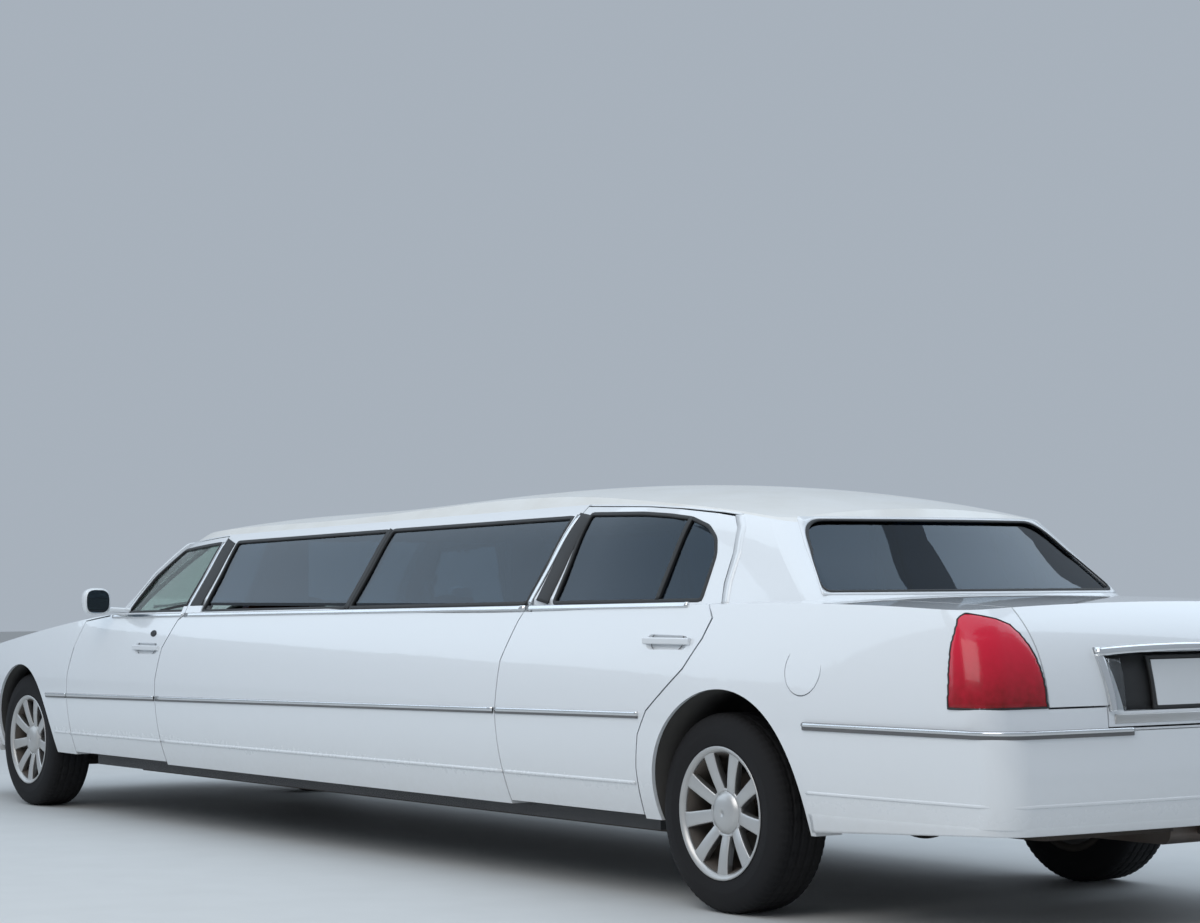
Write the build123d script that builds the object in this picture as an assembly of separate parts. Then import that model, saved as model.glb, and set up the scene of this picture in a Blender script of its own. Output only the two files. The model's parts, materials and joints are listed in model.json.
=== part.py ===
from build123d import *
import math
import os

# Sizes are in millimetres. While building, x runs forward from the rear axle,
# y to the left and z up from the ground. Saving moves each piece back by MIDDLE_X.
WHEELBASE = 6038
MIDDLE_X = 2821
WHEEL_Z = 345
TYRE_WIDTH = 225
REAR_WHEEL_Y = 833
FRONT_WHEEL_Y = 805
RIM_RADIUS = 232
PANEL_GAP = 6
SIDE_WALL = 110
END_WALL = 60
LID_WALL = 45
CABIN_WALL = 45
ROOF_WALL = 40
GLASS_SETBACK = 8
GLASS_THICK = 6
DOOR_BOTTOM_Z = 305
SILL_TOP_Z = DOOR_BOTTOM_Z - 8
FLOOR_THICK = 28
HINGE_Y = 999
EDGE_SLOPE = 0.36

# Lower body outlines seen from above. Columns: height, half width along the doors,
# rear corner x and y, front corner x and y.
LOWER_ROWS = [
    (297, 925, -1230, 860, 6880, 840),
    (420, 965, -1300, 895, 6940, 870),
    (676, 993, -1298, 912, 6950, 885),
    (850, 975, -1272, 895, 6930, 865),
    (980, 945, -1205, 865, 6850, 830),
    (1100, 908, -1075, 820, 6700, 790),
]
LOWER_MID = (600, 5000)
LOWER_REAR_BOW = 45
LOWER_FRONT_BOW = 80
REAR_CORNER = 120
FRONT_CORNER = 190

# Top surface of the lower body. Columns: x, height 1000 mm out from the middle, height at the middle.
TOP_ROWS = [
    (-1600, 1002, 1042),
    (-1050, 1040, 1073),
    (-300, 1062, 1093),
    (2500, 1030, 1060),
    (5150, 985, 1020),
    (5857, 905, 965),
    (6400, 835, 900),
    (7200, 725, 790),
]
TOP_HALF = 1000

# Cabin outlines seen from above. Columns: height, half width, rear corner x and y, rear bow,
# front corner x and y, front bow.
CABIN_ROWS = [
    (700, 930, -345, 745, 95, 5060, 845, 255),
    (1050, 915, -322, 745, 95, 5000, 845, 255),
    (1230, 834, -125, 685, 80, 4738, 765, 190),
    (1400, 748, 55, 600, 70, 4432, 655, 130),
    (1455, 700, 112, 555, 60, 4330, 590, 115),
    (1550, 560, 230, 440, 50, 4150, 450, 90),
]
CABIN_MID = (900, 4000)

# Roof surface. Columns: x, height at the middle.
ROOF_ROWS = [(-500, 1236), (-50, 1396), (350, 1467), (1000, 1524), (2700, 1503), (4100, 1474), (4550, 1434), (5000, 1345),
             (5450, 1220)]
ROOF_DROP = 100
ROOF_HALF = 900

# Side outlines of the doors, x and z, from the front lower corner round over the top.
FRONT_DOOR = [(5398, 305), (5376, 700), (5318, 850), (5236, 974), (4965, 1002), (4812, 1203),
              (4596, 1348), (4015, 1379), (4148, 1004), (4200, 980), (4308, 849), (4347, 700), (4345, 305)]
REAR_DOOR = [(1337, 305), (1358, 646), (1344, 849), (1270, 1000), (1232, 1052), (1105, 1440),
             (700, 1428), (500, 1415), (300, 1396), (205, 1383), (162, 1338), (126, 1246), (108, 1138), (80, 1060),
             (45, 1017), (78, 944), (163, 837), (359, 685), (412, 600), (440, 480), (453, 305)]
# Side outlines of the fixed panels between them.
WING_ZONE = [(5398, 290), (5398, 305), (5376, 700), (5326, 835), (5326, 1400), (8000, 1400), (8000, 290)]
PANEL_ZONE = [(4345, 290), (4347, 700), (4308, 849), (4200, 980), (4148, 1004), (4015, 1379), (4012, 1500), (1103, 1500),
              (1105, 1440), (1232, 1052), (1270, 1000), (1344, 849), (1358, 646), (1337, 290)]
QUARTER_ZONE = [(453, 290), (440, 480), (412, 600), (359, 685), (163, 837), (78, 944), (45, 1017), (80, 1060), (108, 1138),
                (126, 1246), (162, 1338), (205, 1383), (205, 1600), (-2000, 1600), (-2000, 290)]

# Door handles. Columns: door, x of the two ends, height.
HANDLES = [("front", 4385, 4575, 850), ("rear", 185, 375, 935)]
POCKET_RADIUS = 34
POCKET_DEPTH = 13
GRIP_PROUD = 11

# Strikers in the gap behind each door, which meet its edge when it is shut. Columns: rear x, front x, height.
FRONT_STRIKER = (4330, 4420, 742)
REAR_STRIKER = (95, 200, 880)
STRIKER_SIZE = 40

# How far in the doors reach, y and z.
DOOR_INNER = [(1200, 200), (1200, 1600), (560, 1600), (600, 1440), (700, 1300), (760, 1180), (806, 1005), (835, 995),
              (835, 880), (700, 870), (700, 200)]
FRONT_GLASS = [(4890, 1012), (4748, 1197), (4556, 1322), (4062, 1348), (4186, 1022)]
REAR_GLASS = [(1078, 1064), (1052, 1410), (709, 1404), (562, 1394), (435, 1380), (330, 1348), (266, 1302), (232, 1240),
              (213, 1074)]
STRETCH_GLASS = [
    [(3990, 1022), (3905, 1350), (2535, 1376), (2650, 1042)],
    [(2622, 1042), (2507, 1377), (1156, 1400), (1256, 1062)],
]
ROOF_EDGE = [(4800, 1600), (4800, 1352), (4592, 1352), (4020, 1382), (1108, 1443), (700, 1431), (500, 1418), (300, 1399),
             (205, 1386), (100, 1370), (-60, 1342), (-500, 1342), (-500, 1600)]

# Wheel arches in the side panels and the room that the steered wheels need inside them, x, z and radius.
REAR_ARCH = (-48, 362, 412)
FRONT_ARCH = (WHEELBASE - 5, 352, 388)
FRONT_LINER = (WHEELBASE - 5, 352, 425)
ARCH_LIP_Y = 845
LINER_THICK = 6
WELL_INNER_Y = 600

# Screens, half widths and heights seen along the car.
WINDSCREEN = [(-765, 1016), (765, 1016), (585, 1372), (-585, 1372)]
REAR_SCREEN = [(-700, 1100), (700, 1100), (568, 1366), (-568, 1366)]

# Lids and lamps.
BONNET_REAR_X = 5335
BONNET_FRONT_X = 6945
BONNET_REAR_Y = 760
BONNET_FRONT_Y = 690
BOOT_FRONT_X = -440
BOOT_HALF = 640
BOOT_LOWER_Z = 736
BOOT_TONGUE_Z = 668
BOOT_TONGUE_HALF = 400
PLATE_RECESS = [(380, 906), (335, 722), (-335, 722), (-380, 906)]
PLATE_DEPTH = 36
LAMP_FACE = [(1100, 745), (1100, 1022), (850, 1022), (800, 1016), (742, 990), (694, 920), (668, 840), (660, 745)]
LAMP_SIDE = [(-2000, 745), (-1182, 745), (-1170, 900), (-1146, 1000), (-1120, 1022), (-2000, 1022)]
FLAP_X, FLAP_Z = -473, 851
FLAP_RADIUS = 88
HEADLAMP_FACE = [(1000, 600), (1000, 764), (430, 764), (430, 600)]
HEADLAMP_REAR_X = 6800
GRILLE_HALF = 400
GRILLE_Z = (600, 800)
GRILLE_BARS = 17
GRILLE_PITCH = 22

# Frame, floor and running gear.
RAIL_Y = 500
RAIL_WIDTH = 80
RAIL_BOTTOM = 205
REAR_FLOOR_Z = 490
RAIL_FRONT_X = 5200
ENGINE_BOTTOM = 402
FRONT_RAIL_Y = 380
RAIL_SIDE = [(-1290, 405), (370, 405), (560, RAIL_BOTTOM), (RAIL_FRONT_X, RAIL_BOTTOM), (RAIL_FRONT_X, SILL_TOP_Z), (605, SILL_TOP_Z),
             (420, REAR_FLOOR_Z), (-1290, REAR_FLOOR_Z)]
FRONT_RAIL_SIDE = [(RAIL_FRONT_X + 150, RAIL_BOTTOM), (RAIL_FRONT_X + 200, RAIL_BOTTOM), (5690, 400), (6880, 400), (6880, 490),
                   (5650, 490), (RAIL_FRONT_X + 150, SILL_TOP_Z)]
CROSS_X = [600, 1500, 2400, 3300, 4200]
FLOOR_REAR_X = 612
FLOOR_FRONT_X = 5160
FLOOR_HALF = 800
TUNNEL_REAR_X = 4520
TUNNEL_TOP = 525
SPOKES = 9
SPINDLE_RADIUS = 27.7
JOINT_GAP = 0.3
HUB_BORE = SPINDLE_RADIUS + JOINT_GAP
KINGPIN_Y = 700
LOWER_ARM_TOP = 230
UPPER_ARM_BOTTOM = 505
SHAFT_Z = 262
SHAFT_RADIUS = 34
PARTITION_X = 3620
DASH_REAR_X = 4790
STEER_TILT = 24
STEER_CENTRE = (4560, 370, 880)
BUMPER_REAR_TOP = 665
BUMPER_FRONT_TOP = 590
BUMPER_REAR_START = -480
BUMPER_FRONT_START = 6480
BUMPER_WALL = 95
INTAKE_Z = (345, 425)

# Bumper outlines seen from above, in the same columns as the lower body.
BUMPER_ROWS = [
    (268, 925, -1330, 880, 6950, 850),
    (330, 945, -1364, 895, 6976, 868),
    (445, 974, -1392, 905, 7000, 880),
    (560, 990, -1392, 915, 7000, 890),
    (700, 992, -1386, 915, 6995, 890),
]
BUMPER_REAR_BOTTOM = 375


def smooth(rows, value):
    """Value of a smooth curve through the first two columns of the rows."""
    count = len(rows)
    for index in range(count - 1):
        low, high = rows[index], rows[index + 1]
        if low[0] <= value <= high[0]:
            before, after = rows[max(index - 1, 0)], rows[min(index + 2, count - 1)]
            span = high[0] - low[0]
            share = (value - low[0]) / span
            rise_low = (high[1] - before[1]) / (high[0] - before[0]) * span
            rise_high = (after[1] - low[1]) / (after[0] - low[0]) * span
            cube, square = share ** 3, share ** 2
            return ((2 * cube - 3 * square + 1) * low[1] + (cube - 2 * square + share) * rise_low
                    + (3 * square - 2 * cube) * high[1] + (cube - square) * rise_high)
    return rows[0][1] if value < rows[0][0] else rows[-1][1]


def side_y(z):
    """Half width of the outer surface beside the doors at height z."""
    return smooth(LOWER_ROWS if z < 1050 else CABIN_ROWS, z)


def wall_y(x, z):
    """Half width of the lower body at x and height z, near the doors."""
    half = smooth(LOWER_ROWS, z)
    run = max(LOWER_MID[0] - x, x - LOWER_MID[1], 0)
    if run == 0:
        return half
    columns = [(row[0], row[3] if x < LOWER_MID[0] else row[5]) for row in LOWER_ROWS]
    length = LOWER_MID[0] - LOWER_ROWS[2][2] if x < LOWER_MID[0] else LOWER_ROWS[2][4] - LOWER_MID[1]
    drop = half - smooth(columns, z)
    radius = (length ** 2 + drop ** 2) / (2 * drop)
    return half - radius + math.sqrt(radius ** 2 - run ** 2)


def refined(points, step=110):
    """The same outline with points added so that no edge rises more than the step."""
    result = []
    for a, b in zip(points, points[1:] + points[:1]):
        parts = max(1, math.ceil(abs(b[1] - a[1]) / step))
        for index in range(parts):
            share = index / parts
            result.append((a[0] + share * (b[0] - a[0]), a[1] + share * (b[1] - a[1])))
    return result


def outline(z, half, mid, rear, front):
    """Closed plan outline: straight middle, tangent arcs to four rounded corners."""
    rear_x, rear_y, rear_bow, rear_round = rear
    front_x, front_y, front_bow, front_round = front
    edges = [
        Line((mid[0], half), (mid[1], half)),
        TangentArc((mid[1], half), (front_x, front_y), tangent=(1, 0)),
        ThreePointArc((front_x, front_y), (front_x + front_bow, 0), (front_x, -front_y)),
        TangentArc((mid[1], -half), (front_x, -front_y), tangent=(1, 0)),
        Line((mid[1], -half), (mid[0], -half)),
        TangentArc((mid[0], -half), (rear_x, -rear_y), tangent=(-1, 0)),
        ThreePointArc((rear_x, -rear_y), (rear_x - rear_bow, 0), (rear_x, rear_y)),
        TangentArc((mid[0], half), (rear_x, rear_y), tangent=(-1, 0)),
    ]
    face = make_face(edges)
    corners = [v for v in face.vertices() if abs(v.X - rear_x) < 1]
    face = fillet(corners, rear_round)
    corners = [v for v in face.vertices() if abs(v.X - front_x) < 1]
    face = fillet(corners, front_round)
    return Location((0, 0, z)) * face


def stacked_block(rows, inset_side, inset_end):
    """Outlines stacked in height as one solid, made smaller by the two insets."""
    sections = []
    for z, half, rear_x, rear_y, front_x, front_y in rows:
        rear = (rear_x + inset_end, rear_y - inset_side, LOWER_REAR_BOW, REAR_CORNER)
        front = (front_x - inset_end, front_y - inset_side, LOWER_FRONT_BOW, FRONT_CORNER)
        sections.append(outline(z, half - inset_side, LOWER_MID, rear, front))
    return loft(sections)


def cross_cap(rows, half, drop, inset, floor_z):
    """A long solid whose top is a crowned surface through arcs at each x."""
    sections = []
    for row in rows:
        x, middle = row[0], row[-1] - inset
        edge = (row[1] - inset) if len(row) == 3 else middle - drop
        face = make_face([
            ThreePointArc((-half, edge), (0, middle), (half, edge)),
            Line((half, edge), (half, floor_z)),
            Line((half, floor_z), (-half, floor_z)),
            Line((-half, floor_z), (-half, edge)),
        ])
        sections.append(Plane(origin=(x, 0, 0), x_dir=(0, 1, 0), z_dir=(1, 0, 0)) * face)
    return loft(sections)


def cabin_block(inset, inset_top):
    """The glasshouse as one solid, made smaller by the two insets."""
    sections = []
    for z, half, rear_x, rear_y, rear_bow, front_x, front_y, front_bow in CABIN_ROWS:
        rear = (rear_x + inset * 1.4, rear_y - inset * 0.8, rear_bow, 110)
        front = (front_x - inset * 1.7, front_y - inset * 0.8, front_bow, 110)
        sections.append(outline(z, half - inset, CABIN_MID, rear, front))
    return loft(sections) & cross_cap(ROOF_ROWS, ROOF_HALF, ROOF_DROP, inset_top, 600)


def box(x0, x1, y0, y1, z0, z1):
    return Location(((x0 + x1) / 2, (y0 + y1) / 2, (z0 + z1) / 2)) * Box(abs(x1 - x0), abs(y1 - y0), abs(z1 - z0))


def both_sides(shape):
    """A piece and its mirror image on the right, as one list of solids."""
    return Compound(children=[s for s in shape.solids()] + [s for s in mirror(shape, Plane.XZ).solids()])


def side_prism(points, y0=450, y1=1150):
    """A side outline extruded straight across from y0 to y1."""
    face = make_face(Polyline(*points, close=True))
    return extrude(Plane(origin=(0, y0, 0), x_dir=(1, 0, 0), z_dir=(0, -1, 0)) * face, -(y1 - y0))


def end_prism(points, x0, x1):
    """An outline of y and z extruded along the car from x0 to x1."""
    face = make_face(Polyline(*points, close=True))
    return extrude(Plane(origin=(x0, 0, 0), x_dir=(0, 1, 0), z_dir=(1, 0, 0)) * face, x1 - x0)


def plan_prism(points, z0, z1):
    """An outline of x and y extruded upward from z0 to z1."""
    face = make_face(Polyline(*points, close=True))
    return extrude(Plane(origin=(0, 0, z0)) * face, z1 - z0)


def grown(points, amount):
    """An outline with every edge moved outward by the amount, corners kept sharp."""
    area = sum(a[0] * b[1] - b[0] * a[1] for a, b in zip(points, points[1:] + points[:1]))
    sign = 1 if area > 0 else -1
    lines = []
    for a, b in zip(points, points[1:] + points[:1]):
        length = math.hypot(b[0] - a[0], b[1] - a[1])
        normal = (sign * (b[1] - a[1]) / length, -sign * (b[0] - a[0]) / length)
        lines.append((normal[0], normal[1], normal[0] * a[0] + normal[1] * a[1] + amount))
    result = []
    for first, second in zip(lines[-1:] + lines[:-1], lines):
        det = first[0] * second[1] - second[0] * first[1]
        x = (first[2] * second[1] - second[2] * first[1]) / det
        z = (first[0] * second[2] - second[0] * first[2]) / det
        result.append((x, z))
    return result


def door_prism(points, grow, y0=450, y1=1150):
    """A door's outline drawn on the outer surface and narrowing inward at its ends."""
    middle = sum(x for x, z in points) / len(points)
    faces = []
    for y in (y0, y1):
        moved = []
        for x, z in refined(points):
            lean = EDGE_SLOPE * (y - side_y(z))
            moved.append((x + (lean if x > middle else -lean), z))
        face = make_face(Polyline(*grown(moved, grow), close=True))
        faces.append(Plane(origin=(0, y, 0), x_dir=(1, 0, 0), z_dir=(0, -1, 0)) * face)
    return loft(faces, ruled=True)


def striker(slab, place):
    """A block on the fixed panel that meets the rear edge of a shut door, short of it by the joint gap."""
    rear_x, front_x, height = place
    reach = side_y(height) - STRIKER_SIZE
    block = box(rear_x, front_x, reach - STRIKER_SIZE, reach, height - STRIKER_SIZE / 2, height + STRIKER_SIZE / 2)
    return (block - slab.moved(Location((-JOINT_GAP, 0, 0)))).solids().sort_by(Axis.X)[0]


def turned(points):
    """A ring turned round the axle line: points are radius and place along it."""
    return revolve(Plane.XY * make_face(Polyline(*points, close=True)), Axis.Y)


def rod(start, end, radius):
    start, end = Vector(*start), Vector(*end)
    along = end - start
    return extrude(Plane(origin=start, z_dir=along.normalized()) * Circle(radius), along.length)


def save(name, shape):
    solids = [s for s in shape.solids() if s.volume > 50]
    shape = solids[0] if len(solids) == 1 else Compound(children=solids)
    bad = [n for n, s in enumerate(solids) if not s.is_valid]
    if bad:
        print("not valid:", name, bad)
    export_step(shape.moved(Location((-MIDDLE_X, 0, 0))), os.path.join("parts", name + ".step"))
    b = shape.bounding_box()
    print(f"{name:20s} solids {len(solids)} litres {sum(s.volume for s in solids) / 1e6:8.2f} "
          f"x {b.min.X:7.0f} {b.max.X:7.0f} y {b.min.Y:6.0f} {b.max.Y:6.0f} z {b.min.Z:6.0f} {b.max.Z:6.0f}")


os.makedirs("parts", exist_ok=True)

# The hollow outer skin.
lower_outer = stacked_block(LOWER_ROWS, 0, 0) & cross_cap(TOP_ROWS, TOP_HALF, 0, 0, 200)
lower_inner = stacked_block(LOWER_ROWS, SIDE_WALL, END_WALL) & cross_cap(TOP_ROWS, TOP_HALF, 0, LID_WALL, 200)
cabin_outer = cabin_block(0, 0)
cabin_inner = cabin_block(CABIN_WALL, ROOF_WALL)
lower_skin = lower_outer - lower_inner - cabin_inner
cabin_skin = cabin_outer - cabin_inner - lower_outer
skin = lower_skin + cabin_skin
pane_skin = cabin_block(GLASS_SETBACK, GLASS_SETBACK) - cabin_block(GLASS_SETBACK + GLASS_THICK, GLASS_SETBACK + GLASS_THICK)

left_half = box(-2000, 8000, 0, 1300, 0, 1700)
cabin_inner_left = cabin_inner & left_half
lower_outer_left = lower_outer & left_half
left_skin = lower_outer_left - (lower_inner & left_half) - cabin_inner_left
left_skin = left_skin + ((cabin_outer & left_half) - cabin_inner_left - lower_outer_left)

# Doors and their glass.
hole_limit = end_prism([(y - PANEL_GAP if y < 1000 else y, z) for y, z in DOOR_INNER], -1500, 6000)
slab_limit = end_prism(DOOR_INNER, -1500, 6000)
front_hole = door_prism(FRONT_DOOR, 0) & hole_limit
front_slab = door_prism(FRONT_DOOR, -PANEL_GAP) & slab_limit
rear_slab = door_prism(REAR_DOOR, -PANEL_GAP) & slab_limit
front_window = side_prism(FRONT_GLASS)
rear_window = side_prism(REAR_GLASS)
stretch_windows = [side_prism(points) for points in STRETCH_GLASS]
roof_prism = side_prism(ROOF_EDGE, -1150, 1150)

front_door = (left_skin & front_slab) - front_window
rear_door = (left_skin & rear_slab) - rear_window
doors = {"front": front_door, "rear": rear_door}
for name, rear_end, front_end, height in HANDLES:
    surface = wall_y((rear_end + front_end) / 2, height)
    pocket_y = surface + POCKET_RADIUS - POCKET_DEPTH
    pocket = rod((rear_end, pocket_y, height), (front_end, pocket_y, height), POCKET_RADIUS)
    for end in (rear_end, front_end):
        pocket = pocket + Location((end, pocket_y, height)) * Sphere(POCKET_RADIUS)
    grip = box(rear_end - 42, front_end + 42, surface - 5, surface + GRIP_PROUD, height - 12, height + 12)
    grip = fillet(grip.edges().filter_by(Axis.X), 5)
    doors[name] = (doors[name] - pocket) + grip
front_door, rear_door = doors["front"], doors["rear"]
front_door_glass = (pane_skin & front_window) & slab_limit
rear_door_glass = (pane_skin & rear_window) & slab_limit
for side, flip in (("left", False), ("right", True)):
    for name, shape in (("front_door", front_door), ("rear_door", rear_door),
                        ("front_door_glass", front_door_glass), ("rear_door_glass", rear_door_glass)):
        save(name + "_" + side, mirror(shape, Plane.XZ) if flip else shape)

# Fixed panels of the left side.
rear_arch = Location((REAR_ARCH[0], 0, REAR_ARCH[1])) * Rotation(90, 0, 0) * Cylinder(REAR_ARCH[2], 2600)
front_arch = Location((FRONT_ARCH[0], 0, FRONT_ARCH[1])) * Rotation(90, 0, 0) * Cylinder(FRONT_ARCH[2], 2600)
# Behind its lip the front arch is wider, so that the steered tyre clears it.
front_arch = front_arch + Location((FRONT_LINER[0], 0, FRONT_LINER[1])) * Rotation(90, 0, 0) * Cylinder(FRONT_LINER[2], 2 * ARCH_LIP_Y)

windscreen_hole = end_prism(WINDSCREEN, 4150, 5700)
rear_screen_hole = end_prism(REAR_SCREEN, -900, 420)
bonnet_shape = [(BONNET_REAR_X, BONNET_REAR_Y), (BONNET_FRONT_X, BONNET_FRONT_Y),
                (BONNET_FRONT_X, -BONNET_FRONT_Y), (BONNET_REAR_X, -BONNET_REAR_Y)]
bonnet_hole_shape = [(BONNET_REAR_X - PANEL_GAP, BONNET_REAR_Y + PANEL_GAP), (BONNET_FRONT_X + PANEL_GAP, BONNET_FRONT_Y + PANEL_GAP),
                     (BONNET_FRONT_X + PANEL_GAP, -BONNET_FRONT_Y - PANEL_GAP), (BONNET_REAR_X - PANEL_GAP, -BONNET_REAR_Y - PANEL_GAP)]
bonnet = lower_skin & plan_prism(bonnet_shape, 771, 1200)
bonnet_hole = plan_prism(bonnet_hole_shape, 771 - PANEL_GAP, 1200)
boot_area = box(-2000, BOOT_FRONT_X, -BOOT_HALF, BOOT_HALF, BOOT_LOWER_Z + PANEL_GAP, 1200)
boot_area = boot_area + box(-2000, -1000, -BOOT_TONGUE_HALF, BOOT_TONGUE_HALF, BOOT_TONGUE_Z + PANEL_GAP, 800)
boot_lid = lower_skin & boot_area
boot_hole = box(-2000, BOOT_FRONT_X + PANEL_GAP, -BOOT_HALF - PANEL_GAP, BOOT_HALF + PANEL_GAP, BOOT_LOWER_Z, 1200)
boot_hole = boot_hole + box(-2000, -1000, -BOOT_TONGUE_HALF - PANEL_GAP, BOOT_TONGUE_HALF + PANEL_GAP, BOOT_TONGUE_Z, 800)
# The plate stands in a recess whose floor follows the tail.
boot_lid = boot_lid - (end_prism(PLATE_RECESS, -2000, -1000) - stacked_block(LOWER_ROWS, PLATE_DEPTH, PLATE_DEPTH))
lamp_prism = end_prism(LAMP_FACE, -2000, -1000) & side_prism(LAMP_SIDE, 400, 1150)
headlamp_prism = end_prism(HEADLAMP_FACE, HEADLAMP_REAR_X, 7400)
grille_box = box(6700, 7400, -GRILLE_HALF, GRILLE_HALF, GRILLE_Z[0], GRILLE_Z[1])
rear_bumper_zone = box(-2000, BUMPER_REAR_START, -1200, 1200, 0, BUMPER_REAR_TOP)
front_bumper_zone = box(BUMPER_FRONT_START, 8000, -1200, 1200, 0, BUMPER_FRONT_TOP)

roof = skin & roof_prism
roof = roof - windscreen_hole - rear_screen_hole
cowl_zone = side_prism([(4300, 1600), (4300, 1330), (4900, 985), (4900, 905), (5250, 905), (5326, 835), (5326, 1600)], 0, 1150)
pillars = (left_skin & cowl_zone) - front_hole - roof_prism - windscreen_hole
pillars = pillars - box(5326, 6000, -1300, 1300, 0, 2000)
wing = (left_skin & side_prism(WING_ZONE, 0, 1150)) - front_arch - bonnet_hole - headlamp_prism - front_bumper_zone - grille_box
quarter = (left_skin & side_prism(QUARTER_ZONE, 0, 1150)) - rear_arch - roof_prism - rear_screen_hole - boot_hole - lamp_prism - rear_bumper_zone
flap_edge = Cylinder(FLAP_RADIUS + 2, 60) - Cylinder(FLAP_RADIUS - 2, 60)
flap_edge = Location((FLAP_X, wall_y(FLAP_X, FLAP_Z) + 22, FLAP_Z)) * Rotation(90, 0, 0) * flap_edge
quarter = quarter + striker(rear_slab, REAR_STRIKER)
side_panel = ((left_skin & side_prism(PANEL_ZONE, 0, 1150)) - roof_prism) + striker(front_slab, FRONT_STRIKER)
for hole in stretch_windows:
    side_panel = side_panel - hole
stretch_glass = pane_skin & stretch_windows[0]
stretch_glass = Compound(children=list(stretch_glass.solids()) + list((pane_skin & stretch_windows[1]).solids()))
tail_lamp = left_skin & lamp_prism
headlamp = left_skin & headlamp_prism
windscreen = pane_skin & windscreen_hole
rear_screen = pane_skin & rear_screen_hole

save("roof", roof)
save("windscreen_frame", pillars + mirror(pillars, Plane.XZ))
save("front_wings", both_sides(wing))
save("rear_quarters", (quarter + mirror(quarter, Plane.XZ)) - flap_edge)
save("side_panels", both_sides(side_panel))
save("side_glass", both_sides(stretch_glass))
save("tail_lamps", both_sides(tail_lamp))
save("headlamps", both_sides(headlamp))
save("windscreen", windscreen)
save("rear_screen", rear_screen)
save("bonnet", bonnet)
save("boot_lid", boot_lid)

# Grille: surround with upright bars.
grille = (lower_outer & grille_box) - stacked_block(LOWER_ROWS, 30, 30)
for number in range(-GRILLE_BARS, GRILLE_BARS + 1):
    middle = number * GRILLE_PITCH
    slot = box(6600, 7400, middle - GRILLE_PITCH / 2 + 4, middle + GRILLE_PITCH / 2 - 4, GRILLE_Z[0] + 22, GRILLE_Z[1] - 24)
    grille = grille - slot
save("grille", grille)

# Bumpers.
bumper_block = stacked_block(BUMPER_ROWS, 0, 0) - stacked_block(BUMPER_ROWS, BUMPER_WALL, BUMPER_WALL)
bumper_rear = (bumper_block & rear_bumper_zone) - box(-2000, 0, -1200, 1200, 0, BUMPER_REAR_BOTTOM)
bumper_front = bumper_block & front_bumper_zone
for intake in ((-420, 420), (-800, -520), (520, 800)):
    bumper_front = bumper_front - box(6700, 7400, intake[0], intake[1], INTAKE_Z[0], INTAKE_Z[1])
save("bumper_rear", bumper_rear)
save("bumper_front", bumper_front)

# Frame under the body: side rails, and crossmembers that meet them face to face.
rail = side_prism(RAIL_SIDE, RAIL_Y, RAIL_Y + RAIL_WIDTH)
front_rail = side_prism(FRONT_RAIL_SIDE, FRONT_RAIL_Y, FRONT_RAIL_Y + RAIL_WIDTH)
save("frame_rails", Compound(children=list(both_sides(rail).solids()) + list(both_sides(front_rail).solids())))
crossmembers = [box(x, x + 100, -RAIL_Y, RAIL_Y, RAIL_BOTTOM, RAIL_BOTTOM + 20) for x in CROSS_X]
gearbox = rod((4700, 0, 372), (5420, 0, 400), 100)
gearbox_cradle = box(RAIL_FRONT_X, RAIL_FRONT_X + 150, -RAIL_Y - RAIL_WIDTH, RAIL_Y + RAIL_WIDTH, RAIL_BOTTOM, SILL_TOP_Z)
crossmembers.append(gearbox_cradle - gearbox)
crossmembers.append(box(-1290, -1230, -RAIL_Y, RAIL_Y, 405, REAR_FLOOR_Z))
crossmembers.append(box(6820, 6880, -FRONT_RAIL_Y, FRONT_RAIL_Y, 400, 490))
engine_mount = box(5980, 6096, -FRONT_RAIL_Y - RAIL_WIDTH, FRONT_RAIL_Y + RAIL_WIDTH, 330, 400)
crossmembers.append(engine_mount + box(5980, 6096, -260, 260, 400, ENGINE_BOTTOM))
save("frame_crossmembers", Compound(children=[piece.solid() for piece in crossmembers]))

# Floor with sills and gearbox tunnel.
floor = box(FLOOR_REAR_X, FLOOR_FRONT_X, -FLOOR_HALF, FLOOR_HALF, SILL_TOP_Z, SILL_TOP_Z + FLOOR_THICK)
for side in (1, -1):
    floor = floor + box(470, 5300, side * 770, side * 850, 250, SILL_TOP_Z)
tunnel = box(TUNNEL_REAR_X, FLOOR_FRONT_X, -180, 180, SILL_TOP_Z, TUNNEL_TOP)
tunnel_space = box(TUNNEL_REAR_X + 20, FLOOR_FRONT_X + 50, -160, 160, 0, TUNNEL_TOP - 20)
floor = (floor + tunnel) - tunnel_space
save("floor_pan", floor)

# Rear floor, boot floor, seat bulkhead and parcel shelf, trimmed to the inside of the body.
rear_floor = box(-1235, -440, -1000, 1000, REAR_FLOOR_Z, REAR_FLOOR_Z + 20) + box(-450, FLOOR_REAR_X, -WELL_INNER_Y, WELL_INNER_Y, REAR_FLOOR_Z, REAR_FLOOR_Z + 20)
rear_floor = rear_floor + box(FLOOR_REAR_X - 20, FLOOR_REAR_X, -498, 498, SILL_TOP_Z + 2, REAR_FLOOR_Z + 5)
rear_floor = rear_floor + box(-20, 0, -WELL_INNER_Y, WELL_INNER_Y, REAR_FLOOR_Z, 1010) + box(-400, 0, -800, 800, 990, 1010)
rear_floor = rear_floor + box(-490, -400, -480, 480, 990, 1010)
well = Rotation(90, 0, 0) * Cylinder(REAR_ARCH[2] + LINER_THICK + 2 * JOINT_GAP, 700)
well = Location((REAR_ARCH[0], WELL_INNER_Y - 2 * JOINT_GAP + 350, REAR_ARCH[1])) * well
rear_floor = (rear_floor & lower_inner) - well - mirror(well, Plane.XZ)
lid_rest = cross_cap(TOP_ROWS, TOP_HALF, 0, LID_WALL + JOINT_GAP, 200)
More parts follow.
